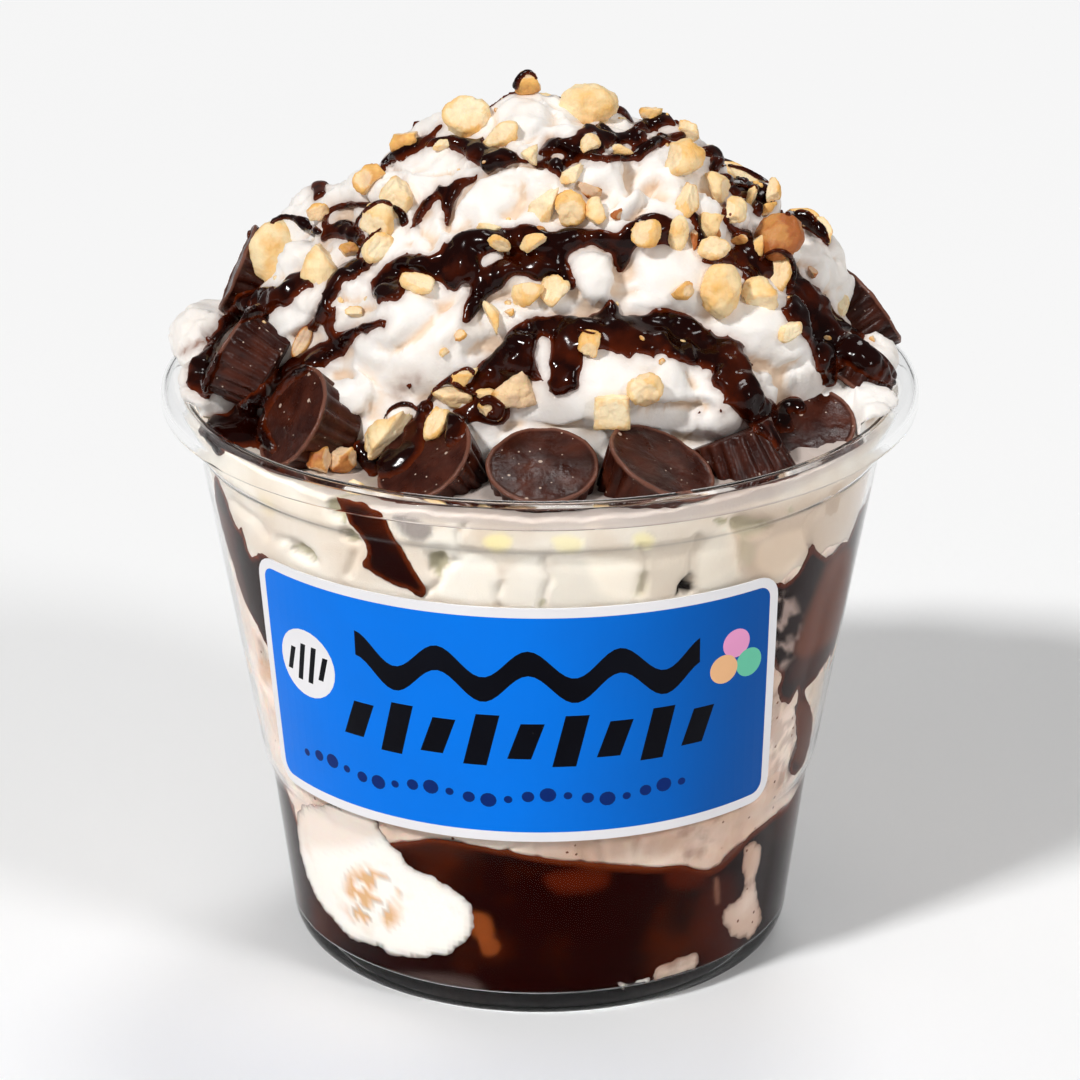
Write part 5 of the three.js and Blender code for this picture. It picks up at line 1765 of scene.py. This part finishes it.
nutMesh = joinedMesh(nutParts)
nutPoints = pointsOf(nutMesh)
keepWithin(nutPoints, cup["rim"] - 0.2)
setPoints(nutMesh, nutPoints)
setValues(nutMesh, "tone", np.concatenate(nutTones))
setValues(nutMesh, "cut", np.concatenate(nutCuts))
showPiece("choppedNuts", nutMesh, "nut", "whipped_cream")
print("nuts made", len(nutMesh.polygons))

coveredNow = treeOf([heapMesh, creamInCup, drizzleMesh, nutMesh, *chocolateMeshes])
threads = [frontStrand(line, seed, coveredNow, 1.0) for seed, line in enumerate(overNuts.values())]
threadMesh = fused(joinedMesh(threads), sauce["voxel"] * 0.8)
relaxed(threadMesh, 2)
setValues(threadMesh, "film", depthOn(threadMesh, coveredNow, 0.8))
showPiece("fudgeOverNuts", threadMesh, "fudge", "whipped_cream")
print("threads made", len(threadMesh.polygons))


# A sticker wrapped on the cone, printed with plain shapes
label = {
    # how much darker the blue is painted at the right end, as shade where the light falls off
    "paintedShadeToRight": 0.55,
    "width": 74.5,
    "foot": 27.4,
    "top": 61.7,
    "corner": 3.2,
    "border": 1.4,
    "azimuth": -96,
    "inner": 0.03,
    "outer": 0.2,
    "cell": 1.6,
}

inks = {
    "white": tint(236, 234, 236),
    "blue": tint(0, 118, 232),
    "black": tint(12, 12, 20),
    "navy": tint(14, 44, 110),
    "pink": tint(240, 160, 205),
    "mint": tint(112, 205, 170),
    "peach": tint(246, 190, 140),
}


def disc(x, y, radius, steps=28, start=0):
    turns = [math.radians(start) + 2 * math.pi * step / steps for step in range(steps)]
    return [(x + radius * math.cos(turn), y + radius * math.sin(turn)) for turn in turns]


def roundedBox(wide, tall, corner, steps=6):
    out = []
    for x, y, start in ((1, 1, 0), (-1, 1, 90), (-1, -1, 180), (1, -1, 270)):
        bend = disc(x * (wide / 2 - corner), y * (tall / 2 - corner), corner, 4 * steps, start)
        out += bend[:steps + 1]
    return out


def wave(start, end, middle, swing, length, thick, steps=60):
    line = [(x, middle + swing * math.sin(2 * math.pi * x / length)) for x in np.linspace(start, end, steps)]
    return [(x, y + thick / 2) for x, y in line] + [(x, y - thick / 2) for x, y in reversed(line)]


def slanted(x, y, wide, tall, lean):
    corners = ((-1, -1), (1, -1), (1, 1), (-1, 1))
    return [(x + side * wide / 2 + end * lean, y + end * tall / 2) for side, end in corners]


# Shapes from the lowest to the top one: (ink, outline)
def labelPrint():
    wide, tall, border = label["width"], label["top"] - label["foot"], label["border"]
    return [
        ("white", roundedBox(wide, tall, label["corner"])),
        ("blue", roundedBox(wide - 2 * border, tall - 2 * border, label["corner"] - border)),
        ("black", wave(-20, 25, 7.2, 2.0, 11.5, 3.6)),
        *(("black", slanted(-20 + 5.6 * place, -2.2, 3.0, 7.5 if place % 2 else 5.2, 0.9)) for place in range(9)),
        *(("navy", disc(-30 + 2.5 * place, -10.6 + 0.5 * math.sin(place), 0.55 + 0.25 * (place % 3), 14))
          for place in range(22)),
        ("white", disc(-28.5, 3.5, 5.0)),
        *(("black", slanted(-31.4 + 1.95 * place, 3.5, 0.9, 5.6 if 0 < place < 3 else 3.6, 0.5))
          for place in range(4)),
        ("pink", disc(30.5, 8.6, 2.1)),
        ("mint", disc(32.6, 5.2, 2.1)),
        ("peach", disc(28.6, 5.2, 2.1)),
    ]


def spaced(outline, step):  # the same outline in short steps, so that it bends round the cup
    out = []
    for (x1, y1), (x2, y2) in zip(outline, outline[1:] + outline[:1]):
        count = max(1, math.ceil(math.hypot(x2 - x1, y2 - y1) / step))
        out += [(x1 + (x2 - x1) * k / count, y1 + (y2 - y1) * k / count) for k in range(count)]
    return np.array(out)


def labelMesh():
    shapes = [(ink, spaced(outline, label["cell"])) for ink, outline in labelPrint()]
    everything, edges = [], []
    for _, outline in shapes:
        start, count = len(everything), len(outline)
        everything += [Vector(p) for p in outline]
        edges += [(start + i, start + (i + 1) % count) for i in range(count)]
    halfWide, halfTall = label["width"] / 2, (label["top"] - label["foot"]) / 2
    columns, rows = (np.arange(0.8 - half, half, label["cell"]) for half in (halfWide, halfTall))
    grid = np.array([(x, y) for x in columns for y in rows])
    everything += [Vector(p) for p in grid[insideOf(shapes[0][1], *grid.T)]]
    points, _, faces, *_ = geometry.delaunay_2d_cdt(everything, edges, [], 0, 1e-4)
    points = np.array([tuple(p) for p in points])
    middles = np.array([points[list(face)].mean(0) for face in faces])
    over = np.full(len(faces), -1)
    for place, (_, outline) in enumerate(shapes):
        over[insideOf(outline, *middles.T)] = place
    kept = [tuple(face) for face, top in zip(faces, over) if top >= 0]
    colours = [inks[shapes[top][0]] for top in over if top >= 0]
    height = (label["foot"] + label["top"]) / 2 + points[:, 1]
    wall = outsideRadius(height)
    turn = math.radians(label["azimuth"]) + points[:, 0] / wall
    skin = closedSkin(kept, len(points))
    colours += [inks["white"]] * (len(skin) - len(kept))
    mesh = bpy.data.meshes.new("label")
    places = np.concatenate([onRound(wall + lift, turn, height) for lift in (label["outer"], label["inner"])])
    mesh.from_pydata((places * mm).tolist(), [], skin)
    ink = mesh.color_attributes.new("ink", "FLOAT_COLOR", "CORNER")
    # painted shade: the label's blue darkens towards its right end
    paintedShadeToRight = 1 - label["paintedShadeToRight"] * smoothStep(-0.1, 1.0, np.tile(points[:, 0], 2) / halfWide)
    for face, colour in zip(mesh.polygons, colours):
        for corner, point in zip(face.loop_indices, face.vertices):
            share = paintedShadeToRight[point] if colour == inks["blue"] else 1.0  # the blue is painted darker towards one end, as shade where the light falls off
            ink.data[corner].color = (*(share * part for part in colour), 1)
    mesh.validate()
    return mesh


showPiece("labelSticker", labelMesh(), "print", "label", smooth=False)
print("label made")


studio = {
    "floor": 6.0,
    # from where, strength, angle in degrees
    "key": ((-0.66, -0.72, 0.95), 2.2, 7),
    "fill": ((0.85, -0.7, 0.8), 0.88, 13),
    "top": ((0.15, 0.5, 1.0), 0.6, 15),
    "world": 0.19,
}


def addFloor():
    half = studio["floor"] / 2 / mm
    mesh = meshOf([(-half, -half, 0), (half, -half, 0), (half, half, 0), (-half, half, 0)], [(0, 1, 2, 3)])
    material, tree, shader = newMaterial("paleFloor")
    setShader(shader, Roughness=0.6)
    feed(tree, mixed(tree, mottled(tree, 3, 0.3, 0.7), (0.955, 0.955, 0.955), (0.97, 0.97, 0.97)), shader, "Base Color")
    mesh.materials.append(material)
    addObject("floor", mesh)


def addLamp(name, place, strength, angle):
    lamp = bpy.data.lights.new(name, "SUN")
    lamp.energy = strength
    lamp.angle = math.radians(angle)
    holder = addObject(name, lamp)
    holder.location = place
    holder.rotation_euler = (-Vector(place)).to_track_quat("-Z", "Y").to_euler()


def addWorld():
    world = bpy.data.worlds.new("studio")
    bpy.context.scene.world = world
    world.use_nodes = True
    tree = world.node_tree
    background = tree.nodes["Background"]
    background.inputs["Strength"].default_value = studio["world"]
    background.inputs["Color"].default_value = (1, 1, 1, 1)


addFloor()
for name in ("key", "fill", "top"):
    addLamp(name, *studio[name])
addWorld()
addCamera()
bpy.context.scene.view_settings.view_transform = "Standard"
print("studio made")
